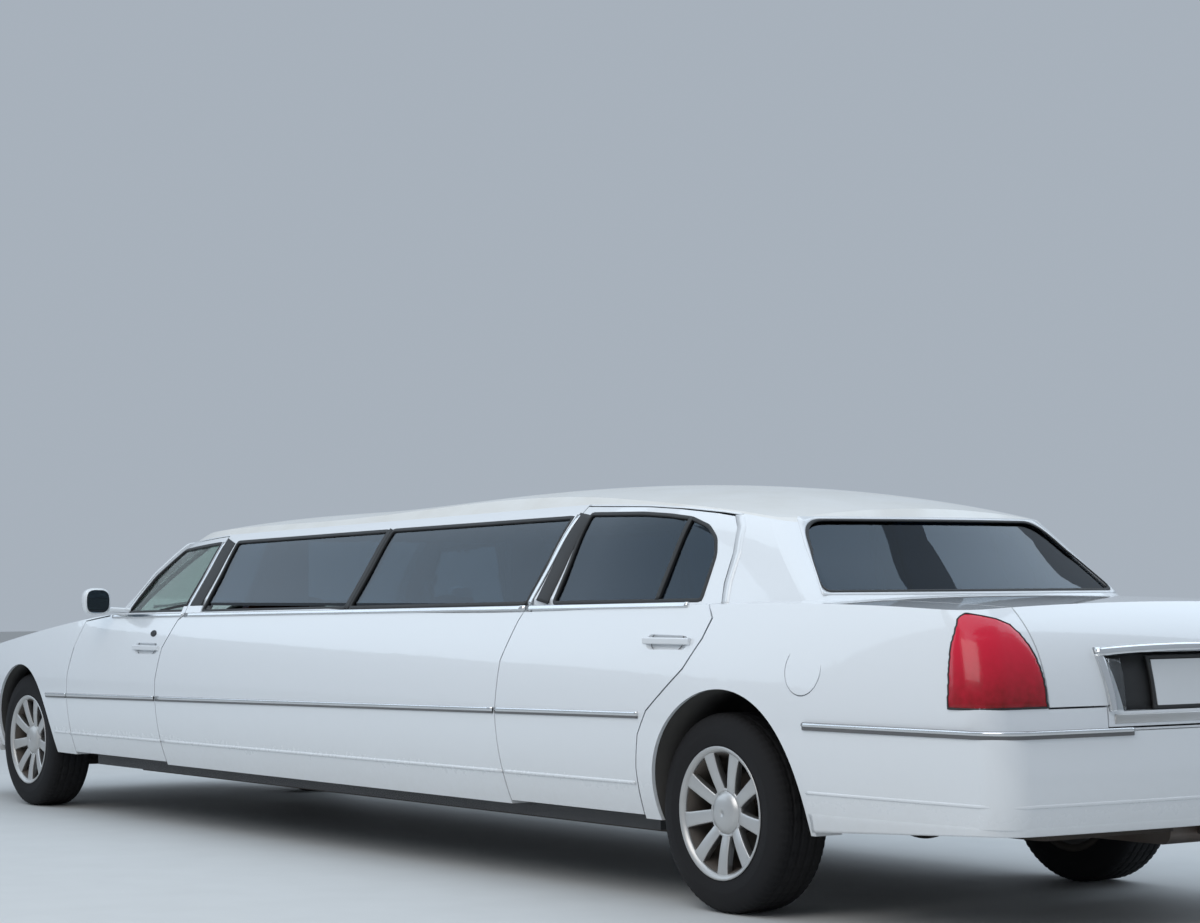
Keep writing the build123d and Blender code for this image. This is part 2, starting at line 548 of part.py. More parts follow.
for y in (-470, 430):
    rear_floor = rear_floor + (box(-485, -455, y, y + 40, 1000, 1200) & lid_rest)
save("rear_floor", rear_floor)

# Bulkhead behind the engine.
bulkhead = (box(FLOOR_FRONT_X, FLOOR_FRONT_X + 30, -FLOOR_HALF, FLOOR_HALF, SILL_TOP_Z, 1200) & lower_inner) - box(5000, 5300, -160, 160, 0, TUNNEL_TOP - 20)
save("bulkhead", bulkhead)

# Wheel arch liners.
def liner(arch, inner_y, outer_y):
    x, z, radius = arch
    ring = Cylinder(radius + LINER_THICK, outer_y - inner_y) - Cylinder(radius, outer_y - inner_y)
    ring = Location((x, (inner_y + outer_y) / 2, z)) * Rotation(90, 0, 0) * ring
    wall = Location((x, inner_y - LINER_THICK / 2, z)) * Rotation(90, 0, 0) * Cylinder(radius + LINER_THICK, LINER_THICK)
    return ring, wall


rear_ring, rear_wall = liner(REAR_ARCH, WELL_INNER_Y + LINER_THICK, 1000)
front_ring, front_wall = liner(FRONT_LINER, 492, 1000)
rear_liner = ((rear_ring + rear_wall) & box(-700, 700, 0, 1300, WHEEL_Z + 120, 1400)) & lower_inner
front_liner = (front_ring & box(5500, 6600, 0, 1300, WHEEL_Z - 20, 1400)) & lower_inner
save("wheel_liners", Compound(children=list(both_sides(rear_liner).solids()) + list(both_sides(front_liner).solids())))

# Wheels: a hollow tyre and a rim with nine flat spokes, turned round the axle line.
tyre_profile = [(216, -76), (216, -95), (238, -109), (290, -TYRE_WIDTH / 2), (334, -99), (WHEEL_Z, -80),
                (WHEEL_Z, 80), (334, 99), (290, TYRE_WIDTH / 2), (238, 109), (216, 95), (216, 76),
                (248, 96), (320, 88), (331, 70), (331, -70), (320, -88), (248, -96)]
rim_profile = [(206, -111), (232, -111), (232, -105.8), (216, -95.4), (216, 95.4), (232, 105.8), (232, 111), (214, 111), (206, 98)]
hub_profile = [(HUB_BORE, 8), (80, 8), (86, 66), (84, 76), (72, 79), (66, 84), (42, 90), (38, 88), (0, 91), (0, 74), (HUB_BORE, 74)]
# A spoke seen from the side, y and height above the axle, and from the front, width and height.
SPOKE_SIDE = [(50, 74), (50, 140), (66, 209), (92, 209), (80, 170), (75, 140), (77, 74)]
SPOKE_FACE = [(-22, 74), (-24, 140), (-30, 209), (30, 209), (24, 140), (22, 74)]
tyre = turned(tyre_profile)
rim = turned(rim_profile) + turned(hub_profile)
spoke = end_prism(SPOKE_SIDE, -40, 40)
spoke = spoke & (Rotation(90, 0, 0) * extrude(make_face(Polyline(*SPOKE_FACE, close=True)), 240, both=True))
for number in range(SPOKES):
    rim = rim + Rotation(0, (number + 0.5) * 360 / SPOKES, 0) * spoke
for name, x, y in (("front", WHEELBASE, FRONT_WHEEL_Y), ("rear", 0, REAR_WHEEL_Y)):
    for side, flip in (("left", False), ("right", True)):
        for part, shape in (("tyre", tyre), ("rim", rim)):
            placed = shape.moved(Location((x, y, WHEEL_Z)))
            save(f"{part}_{name}_{side}", mirror(placed, Plane.XZ) if flip else placed)

# Steering knuckles with spindle and brake disc.
knuckle = rod((WHEELBASE, KINGPIN_Y - 22, WHEEL_Z), (WHEELBASE, FRONT_WHEEL_Y + 60, WHEEL_Z), SPINDLE_RADIUS)
knuckle = knuckle + rod((WHEELBASE, KINGPIN_Y, LOWER_ARM_TOP + JOINT_GAP), (WHEELBASE, KINGPIN_Y, UPPER_ARM_BOTTOM - JOINT_GAP), 24)
knuckle = knuckle + rod((WHEELBASE, FRONT_WHEEL_Y - 60, WHEEL_Z), (WHEELBASE, FRONT_WHEEL_Y - 36, WHEEL_Z), 140)
save("knuckle_left", knuckle)
save("knuckle_right", mirror(knuckle, Plane.XZ))

# Front suspension arms and springs.
arm_plan = [(WHEELBASE - 90, FRONT_RAIL_Y - 40), (WHEELBASE + 90, FRONT_RAIL_Y - 40), (WHEELBASE + 26, KINGPIN_Y + 22),
            (WHEELBASE - 26, KINGPIN_Y + 22)]
upper_arm_plan = [(WHEELBASE - 70, FRONT_RAIL_Y + RAIL_WIDTH), (WHEELBASE + 70, FRONT_RAIL_Y + RAIL_WIDTH),
                  (WHEELBASE + 26, KINGPIN_Y + 22), (WHEELBASE - 26, KINGPIN_Y + 22)]
arms = plan_prism(arm_plan, LOWER_ARM_TOP - 26, LOWER_ARM_TOP)
arms = arms + plan_prism(upper_arm_plan, UPPER_ARM_BOTTOM, UPPER_ARM_BOTTOM + 20)
arms = arms + box(WHEELBASE - 45, WHEELBASE + 45, FRONT_RAIL_Y + RAIL_WIDTH, FRONT_RAIL_Y + RAIL_WIDTH + 14, 400, UPPER_ARM_BOTTOM + 20)
arms = arms + rod((WHEELBASE, 545, LOWER_ARM_TOP), (WHEELBASE, 545, UPPER_ARM_BOTTOM), 42)
arms = arms + box(WHEELBASE - 40, WHEELBASE + 40, FRONT_RAIL_Y - 40, FRONT_RAIL_Y, LOWER_ARM_TOP - 26, 330)
save("front_suspension", both_sides(arms))

# Rear axle with springs and trailing arms.
axle = rod((0, -REAR_WHEEL_Y + 90, WHEEL_Z), (0, REAR_WHEEL_Y - 90, WHEEL_Z), 42)
axle = axle + rod((0, -REAR_WHEEL_Y - 60, WHEEL_Z), (0, REAR_WHEEL_Y + 60, WHEEL_Z), SPINDLE_RADIUS)
axle = axle + Location((0, 0, WHEEL_Z)) * Sphere(140) + rod((0, 0, WHEEL_Z), (190, 0, WHEEL_Z - 20), 60)
for side in (1, -1):
    axle = axle + rod((0, side * (REAR_WHEEL_Y - 85), WHEEL_Z), (0, side * (REAR_WHEEL_Y - 45), WHEEL_Z), 140)
    axle = axle + rod((0, side * 540, WHEEL_Z), (0, side * 540, 405), 40)
    axle = axle + rod((0, side * 420, WHEEL_Z - 10), (620, side * 420, 255), 22) + box(600, 700, side * 395, side * 445, RAIL_BOTTOM + 20, 275)
save("rear_axle", axle)

# Engine as one plain block, gearbox and propeller shaft.
engine = fillet(box(5420, 6120, -260, 260, ENGINE_BOTTOM, 800).edges(), 30)
save("engine", engine)
driveline = gearbox + rod((4590, 0, 300), (4700, 0, 372), 62)
driveline = driveline + rod((600, 0, SHAFT_Z), (4600, 0, SHAFT_Z), SHAFT_RADIUS) + rod((190, 0, WHEEL_Z - 20), (600, 0, SHAFT_Z), SHAFT_RADIUS)
driveline = driveline + rod((4590, 0, 300), (4560, 0, SHAFT_Z), SHAFT_RADIUS)
driveline = driveline - axle
save("driveline", driveline)

# Radiator, whose top carries the closed bonnet.
radiator = box(6822, 6862, -350, 350, 490, 1000) & lid_rest
save("radiator", radiator)

# Exhaust and fuel tank.
exhaust = rod((5180, -330, 262), (-560, -330, 262), 28) + rod((-900, -430, 290), (-1330, -430, 290), 28)
exhaust = exhaust + fillet(box(-940, -540, -500, -280, 232, 330).edges().filter_by(Axis.Y), 40)
for x in (1100, 3000, 4900):
    exhaust = exhaust + box(x, x + 30, -342, -318, SHAFT_Z, SILL_TOP_Z)
save("exhaust", exhaust)
tank = fillet(box(-1100, -480, -150, 470, 300, 490).edges().filter_by(Axis.Z), 40)
save("fuel_tank", tank)

# Dashboard, seats, bar and partition.
inside = lower_inner + cabin_inner
dashboard = box(DASH_REAR_X, FLOOR_FRONT_X, -770, 770, 620, 1150)
dashboard = (dashboard - side_prism([(4700, 1200), (4700, 930), (4830, 965), (5300, 985), (5300, 1200)], -900, 900)) & lower_inner
seat = box(4060, 4560, 190, 650, 500, 610) + box(4120, 4500, 240, 600, SILL_TOP_Z + FLOOR_THICK, 500)
seat = seat + side_prism([(4060, 560), (3900, 1060), (3960, 1090), (4080, 1080), (4190, 610)], 190, 650)
save("front_seats", both_sides(seat))
bench = box(FLOOR_REAR_X, 880, -600, 600, SILL_TOP_Z + FLOOR_THICK, 620) + box(300, FLOOR_REAR_X, -600, 600, REAR_FLOOR_Z + 20, 620)
bench = bench + side_prism([(20, REAR_FLOOR_Z + 20), (20, 985), (150, 1000), (250, 1010), (420, 600), (420, REAR_FLOOR_Z + 20)], -600, 600)
long_bench = box(980, 3200, -790, -330, SILL_TOP_Z + FLOOR_THICK, 600) + box(980, 3200, -790, -680, 600, 960)
save("lounge_seats", Compound(children=[bench.solid(), long_bench.solid()]))
bar = fillet(box(1450, 3200, 420, 790, SILL_TOP_Z + FLOOR_THICK, 820).edges().filter_by(Axis.Z), 20)
save("bar_cabinet", bar)
partition = box(PARTITION_X, PARTITION_X + 60, -1000, 1000, SILL_TOP_Z + FLOOR_THICK, 1600) & inside
partition = partition - box(PARTITION_X - 10, PARTITION_X + 80, -560, 560, 900, 1340)
save("partition", partition)

# Steering wheel.
tilt = math.radians(STEER_TILT)
wheel_centre = Vector(*STEER_CENTRE)
column = Vector(math.cos(tilt), 0, -math.sin(tilt))
steering = Plane(origin=wheel_centre, z_dir=column) * Torus(180, 15)
for angle in (90, 210, 330):
    spoke = Plane(origin=wheel_centre, x_dir=(0, 1, 0), z_dir=column) * (Rotation(0, 0, angle) * (Location((90, 0, 0)) * Box(170, 36, 14)))
    steering = steering + spoke
shaft_length = (DASH_REAR_X + 60 - wheel_centre.X) / math.cos(tilt)
steering = steering + rod(wheel_centre, wheel_centre + column * shaft_length, 26)
save("steering_wheel", steering)
dashboard = dashboard - rod(wheel_centre, wheel_centre + column * (shaft_length + JOINT_GAP), 26 + JOINT_GAP)
save("dashboard", dashboard)

# Door mirrors.
shell = plan_prism([(4862, 980), (4862, 1118), (4888, 1118), (4940, 1098), (4974, 1046), (4974, 1000), (4950, 980)], 1004, 1138)
shell = fillet(shell.edges(), 12) - box(4850, 4868, 992, 1106, 1018, 1124)
arm = box(4862, 4902, 800, 1010, 1008, 1038)
door_mirror = (shell + arm) - cabin_outer - lower_outer
save("mirror_left", door_mirror)
save("mirror_right", mirror(door_mirror, Plane.XZ))
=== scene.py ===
import bpy
import json
import math
import numpy as np
from mathutils import Matrix, Vector


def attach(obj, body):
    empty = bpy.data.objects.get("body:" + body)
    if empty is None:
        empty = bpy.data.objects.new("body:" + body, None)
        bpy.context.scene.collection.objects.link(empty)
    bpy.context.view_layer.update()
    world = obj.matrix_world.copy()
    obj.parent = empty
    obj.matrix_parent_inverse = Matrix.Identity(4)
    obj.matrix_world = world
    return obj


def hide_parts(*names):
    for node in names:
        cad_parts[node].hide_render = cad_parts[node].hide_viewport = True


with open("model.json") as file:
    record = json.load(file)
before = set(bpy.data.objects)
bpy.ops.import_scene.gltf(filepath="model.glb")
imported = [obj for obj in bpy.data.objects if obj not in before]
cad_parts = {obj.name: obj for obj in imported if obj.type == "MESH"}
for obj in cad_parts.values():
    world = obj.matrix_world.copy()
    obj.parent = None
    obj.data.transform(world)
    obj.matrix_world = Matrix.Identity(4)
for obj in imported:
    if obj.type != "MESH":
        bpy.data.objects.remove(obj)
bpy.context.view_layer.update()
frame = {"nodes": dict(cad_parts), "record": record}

bl_info = {
    "name": "Stretch limousine dressing",
    "version": (1, 0, 0),
    "blender": (4, 5, 0),
    "location": "View3D > Sidebar > Limousine",
    "description": "Paint, glass, trim, wheels and cabin for the packed limousine",
    "category": "Object",
}

# Lengths are metres. AXLE is the rear axle in the row frame, and the tables below
# count x forward from it, as the part's source does.
AXLE = -2.821
WHEELBASE = 6.038
WHEEL_Z = 0.345
FRONT_WHEEL_Y = 0.805
REAR_WHEEL_Y = 0.833

# Lower body outlines: height, half width, rear corner x and y, front corner x and y.
LOWER_ROWS = np.array([
    (297, 925, -1230, 860, 6880, 840),
    (420, 965, -1300, 895, 6940, 870),
    (676, 993, -1298, 912, 6950, 885),
    (850, 975, -1272, 895, 6930, 865),
    (980, 945, -1205, 865, 6850, 830),
    (1100, 908, -1075, 820, 6700, 790),
]) / 1000
# First and last x of the straight middle.
LOWER_MID = (0.600, 5.000)
# Bumper outlines, in the same order.
BUMPER_ROWS = np.array([
    (268, 925, -1330, 880, 6950, 850),
    (330, 945, -1364, 895, 6976, 868),
    (445, 974, -1392, 905, 7000, 880),
    (560, 990, -1392, 915, 7000, 890),
    (700, 992, -1386, 915, 6995, 890),
]) / 1000
# How far the end faces stand out past their corners, and the radii of those corners.
REAR_BOW, FRONT_BOW = 0.045, 0.080
REAR_CORNER, FRONT_CORNER = 0.120, 0.190
# Cabin outlines: height, half width, rear corner x and y, rear bow, front corner x and y, front bow.
CABIN_ROWS = np.array([
    (700, 930, -345, 745, 95, 5060, 845, 255),
    (1050, 915, -322, 745, 95, 5000, 845, 255),
    (1230, 834, -125, 685, 80, 4738, 765, 190),
    (1400, 748, 55, 600, 70, 4432, 655, 130),
    (1455, 700, 112, 555, 60, 4330, 590, 115),
    (1550, 560, 230, 440, 50, 4150, 450, 90),
]) / 1000
CABIN_MID = (0.900, 4.000)

SIDES = ((1, "left"), (-1, "right"))

# Outlines of the side windows, and edges of panels beside the doors, as x and z in millimetres.
FRONT_GLASS = [(4890, 1012), (4748, 1197), (4556, 1322), (4062, 1348), (4186, 1022)]
REAR_GLASS = [
    (1078, 1064), (1052, 1410), (709, 1404), (562, 1394), (435, 1380),
    (330, 1348), (266, 1302), (232, 1240), (213, 1074),
]
STRETCH_GLASS = [
    [(3990, 1022), (3905, 1350), (2535, 1376), (2650, 1042)],
    [(2622, 1042), (2507, 1377), (1156, 1400), (1256, 1062)],
]
QUARTER_EDGE = [(82, 1062), (108, 1138), (126, 1246), (162, 1338), (205, 1383)]
PILLAR_EDGE = [(4962, 1006), (4812, 1203), (4596, 1348)]
ROOF_EDGES = {
    "rear": [(1105, 1441), (700, 1429), (500, 1416), (300, 1397), (205, 1384)],
    "front": [(4596, 1349), (4015, 1380)],
}
# How far a door's slanting edge falls back, as a share of the depth of the cabin's curve.
DOOR_EDGE_SLOPE = 0.36

# Spans of the side strips: name, what they ride on, first and last x.
RUB_SPANS = (
    ("rear_door", "door_rear", 0.408, 1.349), ("panel", "body", 1.364, 4.338),
    ("front_door", "door_front", 4.356, 5.376), ("wing", "body", 5.390, 5.650),
)
SILL_SPANS = (
    ("rear_door", "door_rear", 0.205, 1.222), ("panel", "body", 1.240, 4.146),
    ("front_door", "door_front", 4.166, 4.925),
)
MOULDING_SPANS = (
    ("rear_door", "door_rear", 0.460, 1.331), ("panel", "body", 1.343, 4.339),
    ("front_door", "door_front", 4.351, 5.386), ("wing", "body", 5.400, 5.600),
)

# Handle pockets: door, first and last x, height. The keypad lies above the front one.
HANDLE_POCKETS = (("front", 4.385, 4.575, 0.850), ("rear", 0.185, 0.375, 0.935))
KEYPAD_X, KEYPAD_Z = (4.396, 4.456), 0.918

# Wheel arches: name, centre x and z, radius and inner end y.
ARCH_SLEEVES = (
    ("rear", (-0.048, 0.362), 0.4095, 0.700),
    ("front", (WHEELBASE - 0.005, 0.352), 0.3855, 0.846),
)
# Where the bumpers end behind and ahead of the wheels.
BUMPER_REAR_X, BUMPER_FRONT_X = -0.482, 6.485

# Corners of the rear screen, y and z, how far each is rounded, and the direction out of the glass.
REAR_SCREEN = np.array([(-0.700, 1.100), (0.700, 1.100), (0.568, 1.366), (-0.568, 1.366)])
REAR_ROUNDING = np.array([[0.035], [0.035], [0.080], [0.080]])
REAR_OUTWARD = np.array([-0.68, 0.0, 0.733])

# Edges of a tail lamp: height, inner edge y, side edge x.
LAMP_EDGES = np.array([
    (0.742, 0.648, -1.152), (0.805, 0.649, -1.149), (0.870, 0.653, -1.140),
    (0.935, 0.668, -1.134), (0.975, 0.684, -1.131), (1.000, 0.702, -1.127),
    (1.018, 0.738, -1.120), (1.028, 0.778, -1.120), (1.036, 0.812, -1.126),
])

# Outline of the grille's frame, y and z, the edges of a headlamp, and its bowl and bulb as
# radius and place along x.
GRILLE_FRAME = np.array([(0.392, 0.610), (0.392, 0.790), (-0.392, 0.790), (-0.392, 0.610)])
HEADLAMP_LOW, HEADLAMP_HIGH, HEADLAMP_INNER, HEADLAMP_REAR = 0.604, 0.760, 0.434, 6.806
LAMP_BOWL = [
    (0.004, -0.045), (0.022, -0.039), (0.040, -0.023), (0.056, 0.0),
    (0.060, -0.002), (0.042, -0.029), (0.022, -0.047), (0.004, -0.053),
]
LAMP_BULB = [(0.001, -0.046), (0.008, -0.046), (0.008, -0.016), (0.001, -0.010)]

# First and last y of each wiper, and the direction out of the windscreen.
WIPER_Y = {"left": (0.07, 0.61), "right": (-0.57, -0.03)}
SCREEN_OUTWARD = np.array([0.485, 0.0, 0.874])

# Wheel profiles: radius and place along the axle, outward from the wheel's middle.
TYRE_SIDE = np.array([
    (0.2170, 0.0925), (0.2200, 0.1000), (0.2280, 0.1045), (0.2340, 0.1065), (0.2380, 0.1085),
    (0.2420, 0.1085), (0.2500, 0.1105), (0.2700, 0.1125), (0.2760, 0.1132), (0.2790, 0.1125),
    (0.2950, 0.1120), (0.3120, 0.1075), (0.3260, 0.1020), (0.3350, 0.0960), (0.3405, 0.0880),
    (0.3430, 0.0800),
])
TYRE_INSIDE = np.array([(0.3290, 0.0700), (0.3080, 0.0900), (0.2400, 0.0960), (0.2180, 0.0905)])
RIM_LIP = [
    (0.2130, 0.084), (0.2150, 0.094), (0.2300, 0.106), (0.2315, 0.1085), (0.2290, 0.1108),
    (0.2240, 0.1106), (0.2170, 0.1050), (0.2110, 0.0990), (0.2080, 0.0900),
]
RIM_HUB = [
    (0.0290, 0.010), (0.0780, 0.010), (0.0830, 0.040), (0.0860, 0.066), (0.0850, 0.0775),
    (0.0810, 0.0815), (0.0770, 0.0800), (0.0745, 0.0780), (0.0725, 0.0800), (0.0680, 0.0860),
    (0.0560, 0.0925), (0.0400, 0.0962), (0.0200, 0.0982), (0.0004, 0.0988), (0.0004, 0.0850),
    (0.0290, 0.0780),
]
RIM_BARREL = [
    (0.2035, -0.108), (0.2285, -0.110), (0.2310, -0.106), (0.2140, -0.092), (0.2110, -0.060),
    (0.1960, -0.020), (0.1960, 0.040), (0.2100, 0.080), (0.2130, 0.092), (0.2050, 0.090),
    (0.1900, 0.0400), (0.1900, -0.0200), (0.2030, -0.0600), (0.2050, -0.0900),
]

# Section of a spoke: shares of its width across and of its thickness outward.
SPOKE_OUTLINE = np.array([
    (-0.5, -1.0), (-0.47, -0.30), (-0.5, -0.16), (-0.46, -0.05), (-0.38, 0.0), (0.38, 0.0),
    (0.46, -0.05), (0.5, -0.16), (0.47, -0.30), (0.5, -1.0), (0.30, -1.0), (-0.30, -1.0),
])

# The camera fitted to the photograph: its place, its turn in degrees, and its lens.
CAMERA_PLACE = (-7.5909, 6.6976, 1.1303)
CAMERA_TURN = (-34.749, 2.595, -0.372)
SENSOR_WIDTH, FOCAL_PIXELS, PHOTO_WIDTH = 36, 2747.9, 1200

# Numbers of the mix node's sockets for two colours and their result.
MIX_FIRST, MIX_SECOND, MIX_RESULT = 6, 7, 2


def curve_through(heights, values, where):
    """Cubic pieces through the points, with one cubic over the first two spans and one over the last two."""
    h = np.diff(heights)
    count = len(heights)
    matrix = np.zeros((count, count))
    right = np.zeros(count)
    inner = np.arange(1, count - 1)
    matrix[inner, inner - 1] = h[:-1]
    matrix[inner, inner] = 2 * (h[:-1] + h[1:])
    matrix[inner, inner + 1] = h[1:]
    right[inner] = 6 * (np.diff(values)[1:] / h[1:] - np.diff(values)[:-1] / h[:-1])
    matrix[0, :3] = h[1], -(h[0] + h[1]), h[0]
    matrix[-1, -3:] = h[-1], -(h[-2] + h[-1]), h[-2]
    second = np.linalg.solve(matrix, right)
    where = np.asarray(where, float)
    i = np.clip(np.searchsorted(heights, where) - 1, 0, count - 2)
    a, b, step = heights[i], heights[i + 1], h[i]
    return (second[i] * (b - where) ** 3 / (6 * step) + second[i + 1] * (where - a) ** 3 / (6 * step)
            + (values[i] / step - second[i] * step / 6) * (b - where)
            + (values[i + 1] / step - second[i + 1] * step / 6) * (where - a))


def column_at(rows, column, z):
    """One column of a table of outlines, at height z."""
    return curve_through(rows[:, 0], rows[:, column], z)


def wall_y(x, z, rows=LOWER_ROWS, mid=LOWER_MID):
    """Half width of a stacked body at x and z.

    It has a straight middle, and beyond each end of it a circle tangent to it that passes
    through the corner.
    """
    x, z = np.broadcast_arrays(np.asarray(x, float), np.asarray(z, float))
    front = 4 if rows.shape[1] == 6 else 5
    half = column_at(rows, 1, z)
    result = half.copy()
    for start, column, sign in ((mid[0], 2, -1), (mid[1], front, 1)):
        corner_x, corner_y = column_at(rows, column, z), column_at(rows, column + 1, z)
        run, drop = np.abs(corner_x - start), np.maximum(half - corner_y, 1e-6)
        radius = (run ** 2 + drop ** 2) / (2 * drop)
        beyond = np.clip(sign * (x - start), 0, run)
        curved = half - (radius - np.sqrt(radius ** 2 - beyond ** 2))
        result = np.where(sign * (x - start) > 0, curved, result)
    return result


def sill_strip_z(x):
    """Height of the bright strip under the side windows."""
    return 1.0693 - 0.01413 * np.asarray(x, float) - 0.004


def strip_z(x):
    """Height of the rub strip's base along the sides."""
    return 0.6762 - 0.0150 * np.asarray(x, float)


def bright_z(x):
    """Height of the rub strip's bright part."""
    return strip_z(x) + 0.004


def moulding_z(x):
    """Height of the moulding over the sills."""
    return 0.428 - 0.004 * np.asarray(x, float)


def to_row(points):
    """Points counted from the rear axle, moved to the row frame."""
    return np.asarray(points, float) + np.array([AXLE, 0, 0])


def mirrored(points):
    """Points or directions of the left side, moved to the right side."""
    return np.asarray(points, float) * np.array([1, -1, 1])


def on_side(sign, *arrays):
    """The arrays as they are for the left side, and mirrored for the right side."""
    return arrays if sign > 0 else tuple(mirrored(array) for array in arrays)


def unit(vectors):
    """The vectors, each brought to length one."""
    return vectors / np.linalg.norm(vectors, axis=-1, keepdims=True)


def across_path(path, outwards, closed=False):
    """Directions on the surface and square to a path along it."""
    if closed:
        tangent = np.roll(path, -1, axis=0) - np.roll(path, 1, axis=0)
    else:
        tangent = np.gradient(path, axis=0)
    return unit(np.cross(outwards, tangent))


MATERIALS = {}


def add_mesh(name, shape, material, body="body", slot=None, smooth=True, replaces=()):
    """Puts vertices and faces into a mesh whose object sits at the origin.

    It gives the piece its material and its body. Its slot argument is not used.
    """
    vertices, faces = shape
    mesh = bpy.data.meshes.new(name)
    mesh.from_pydata(np.asarray(vertices, float).tolist(), [], [list(map(int, face)) for face in faces])
    mesh.validate()
    mesh.polygons.foreach_set("use_smooth", np.full(len(mesh.polygons), smooth))
    mesh.update()
    piece = bpy.data.objects.new(name, mesh)
    bpy.context.scene.collection.objects.link(piece)
    piece.data.materials.append(MATERIALS[material])
    if slot is None:
        slot = material
    if body is not None:
        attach(piece, body)
    if replaces:
        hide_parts(*replaces)
    return piece


def grid_faces(rows, columns, close_rows=False, close_columns=False):
    """Quads over a grid of rows by columns points."""
    r = np.arange(rows if close_rows else rows - 1)
    c = np.arange(columns if close_columns else columns - 1)
    r, c = np.meshgrid(r, c, indexing="ij")
    r, c = r.ravel(), c.ravel()
    r2, c2 = (r + 1) % rows, (c + 1) % columns
    return np.stack([r * columns + c, r * columns + c2, r2 * columns + c2, r2 * columns + c], 1)


def outward(vertices, faces):
    """Faces turned so that the shell's signed volume is positive."""
    v = np.asarray(vertices, float)
    first_halves = [face[:3] for face in faces]
    second_halves = [[face[0], face[2], face[3]] for face in faces if len(face) > 3]
    f = np.array(first_halves + second_halves)
    volume = np.einsum("ij,ij->", v[f[:, 0]], np.cross(v[f[:, 1]], v[f[:, 2]]))
    return [list(face)[::-1] for face in faces] if volume < 0 else [list(face) for face in faces]


def shell(points, close_path=False):
    """Vertices and faces of a closed tube from a grid of points.

    The grid's rows run along it and its columns round the section. Its ends are flat, unless
    its path closes.
    """
    rows, columns = points.shape[:2]
    vertices = points.reshape(-1, 3)
    faces = grid_faces(rows, columns, close_rows=close_path, close_columns=True).tolist()
    if not close_path:
        faces.append(list(range(columns))[::-1])
        faces.append([(rows - 1) * columns + c for c in range(columns)])
    return vertices, outward(vertices, faces)


def joined(parts):
    """Several vertex and face lists as one."""
    vertices, faces, start = [], [], 0
    for v, f in parts:
        vertices.append(np.asarray(v, float))
        faces.extend([[int(i) + start for i in face] for face in f])
        start += len(v)
    return np.concatenate(vertices), faces


def carried(path, side, up, profile, close_path=False):
    """A section carried along a path.

    The section's columns are offsets along the side and the up direction that hold at each
    point of the path.
    """
    path, side, up = (np.asarray(array, float)[:, None, :] for array in (path, side, up))
    profile = np.asarray(profile, float)[None]
    return shell(path + profile[..., :1] * side + profile[..., 1:] * up, close_path)


def rounded_section(width, height, radius, steps=3):
    """A rectangle with rounded corners: four quarter circles joined by straight lines."""
    radius = min(radius, width / 2 - 1e-5, height / 2 - 1e-5)
    angles = np.linspace(0, math.pi / 2, steps)
    corners = []
    for side, level, quarter in ((1, 1, 0), (-1, 1, 1), (-1, -1, 2), (1, -1, 3)):
        turn = angles + quarter * math.pi / 2
        centre = [side * (width / 2 - radius), level * (height / 2 - radius)]
        corners.append(np.stack([np.cos(turn), np.sin(turn)], 1) * radius + centre)
    return np.concatenate(corners)


def block(low, high, radius=0.003):
    """A box with rounded upright edges and chamfered ends, as a section carried upward."""
    low, high = np.asarray(low, float), np.asarray(high, float)
    size, centre = high - low, (high + low) / 2
    levels = [(low[2], -radius), (low[2] + radius, 0), (high[2] - radius, 0), (high[2], -radius)]
    rows = []
    for z, grow in levels:
        section = rounded_section(size[0] + 2 * grow, size[1] + 2 * grow, radius) + centre[:2]
        rows.append(np.column_stack([section, np.full(len(section), z)]))
    return shell(np.array(rows))


def revolved(profile, centre=(0, 0, 0), axis="y", count=64):
    """A closed profile of radius and place along the axis, turned round the axis through the centre."""
    profile = np.asarray(profile, float)
    turn = np.linspace(0, 2 * math.pi, count, endpoint=False)[:, None]
    radius = profile[None, :, 0]
    across, upward = radius * np.cos(turn), radius * np.sin(turn)
    along = np.broadcast_to(profile[None, :, 1], across.shape)
    order = {"y": (across, along, upward), "x": (along, across, upward)}[axis]
    points = np.stack(order, -1) + np.asarray(centre, float)
    return shell(points, close_path=True)


def side_frame(x, z, sign=1, rows=LOWER_ROWS, mid=LOWER_MID, lift=0.0):
    """Path points on the body side with the outward and upward directions there, in the row frame."""
    y = wall_y(x, z, rows, mid)
    step = 0.004
    slope_z = (wall_y(x, z + step, rows, mid) - wall_y(x, z - step, rows, mid)) / (2 * step)
    slope_x = (wall_y(x + step, z, rows, mid) - wall_y(x - step, z, rows, mid)) / (2 * step)
    normal = unit(np.stack([-slope_x, np.ones_like(y), -slope_z], -1))
    along = unit(np.stack([np.ones_like(y), slope_x, np.zeros_like(y)], -1))
    up = np.cross(normal, along)
    up *= np.sign(up[..., 2:3])
    path = to_row(np.stack([x, y, np.broadcast_to(z, y.shape)], -1) + lift * normal)
    return on_side(sign, path, normal, up)


def side_strip(x_from, x_to, height_line, section, sign, lift=0.0, count=60):
    """A strip along the lower body's side between two x, following a height line."""
    x = np.linspace(x_from, x_to, count)
    path, normal, up = side_frame(x, height_line(x), sign, lift=lift)
    return carried(path, normal, up, section)


def bowed(corner_x, corner_y, bow, y, sign):
    """Place along the car of an end face at y: an arc through both corners that stands out by the bow."""
    big = (corner_y ** 2 + bow ** 2) / (2 * bow)
    return corner_x + sign * (bow - big + np.sqrt(big ** 2 - np.asarray(y, float) ** 2))


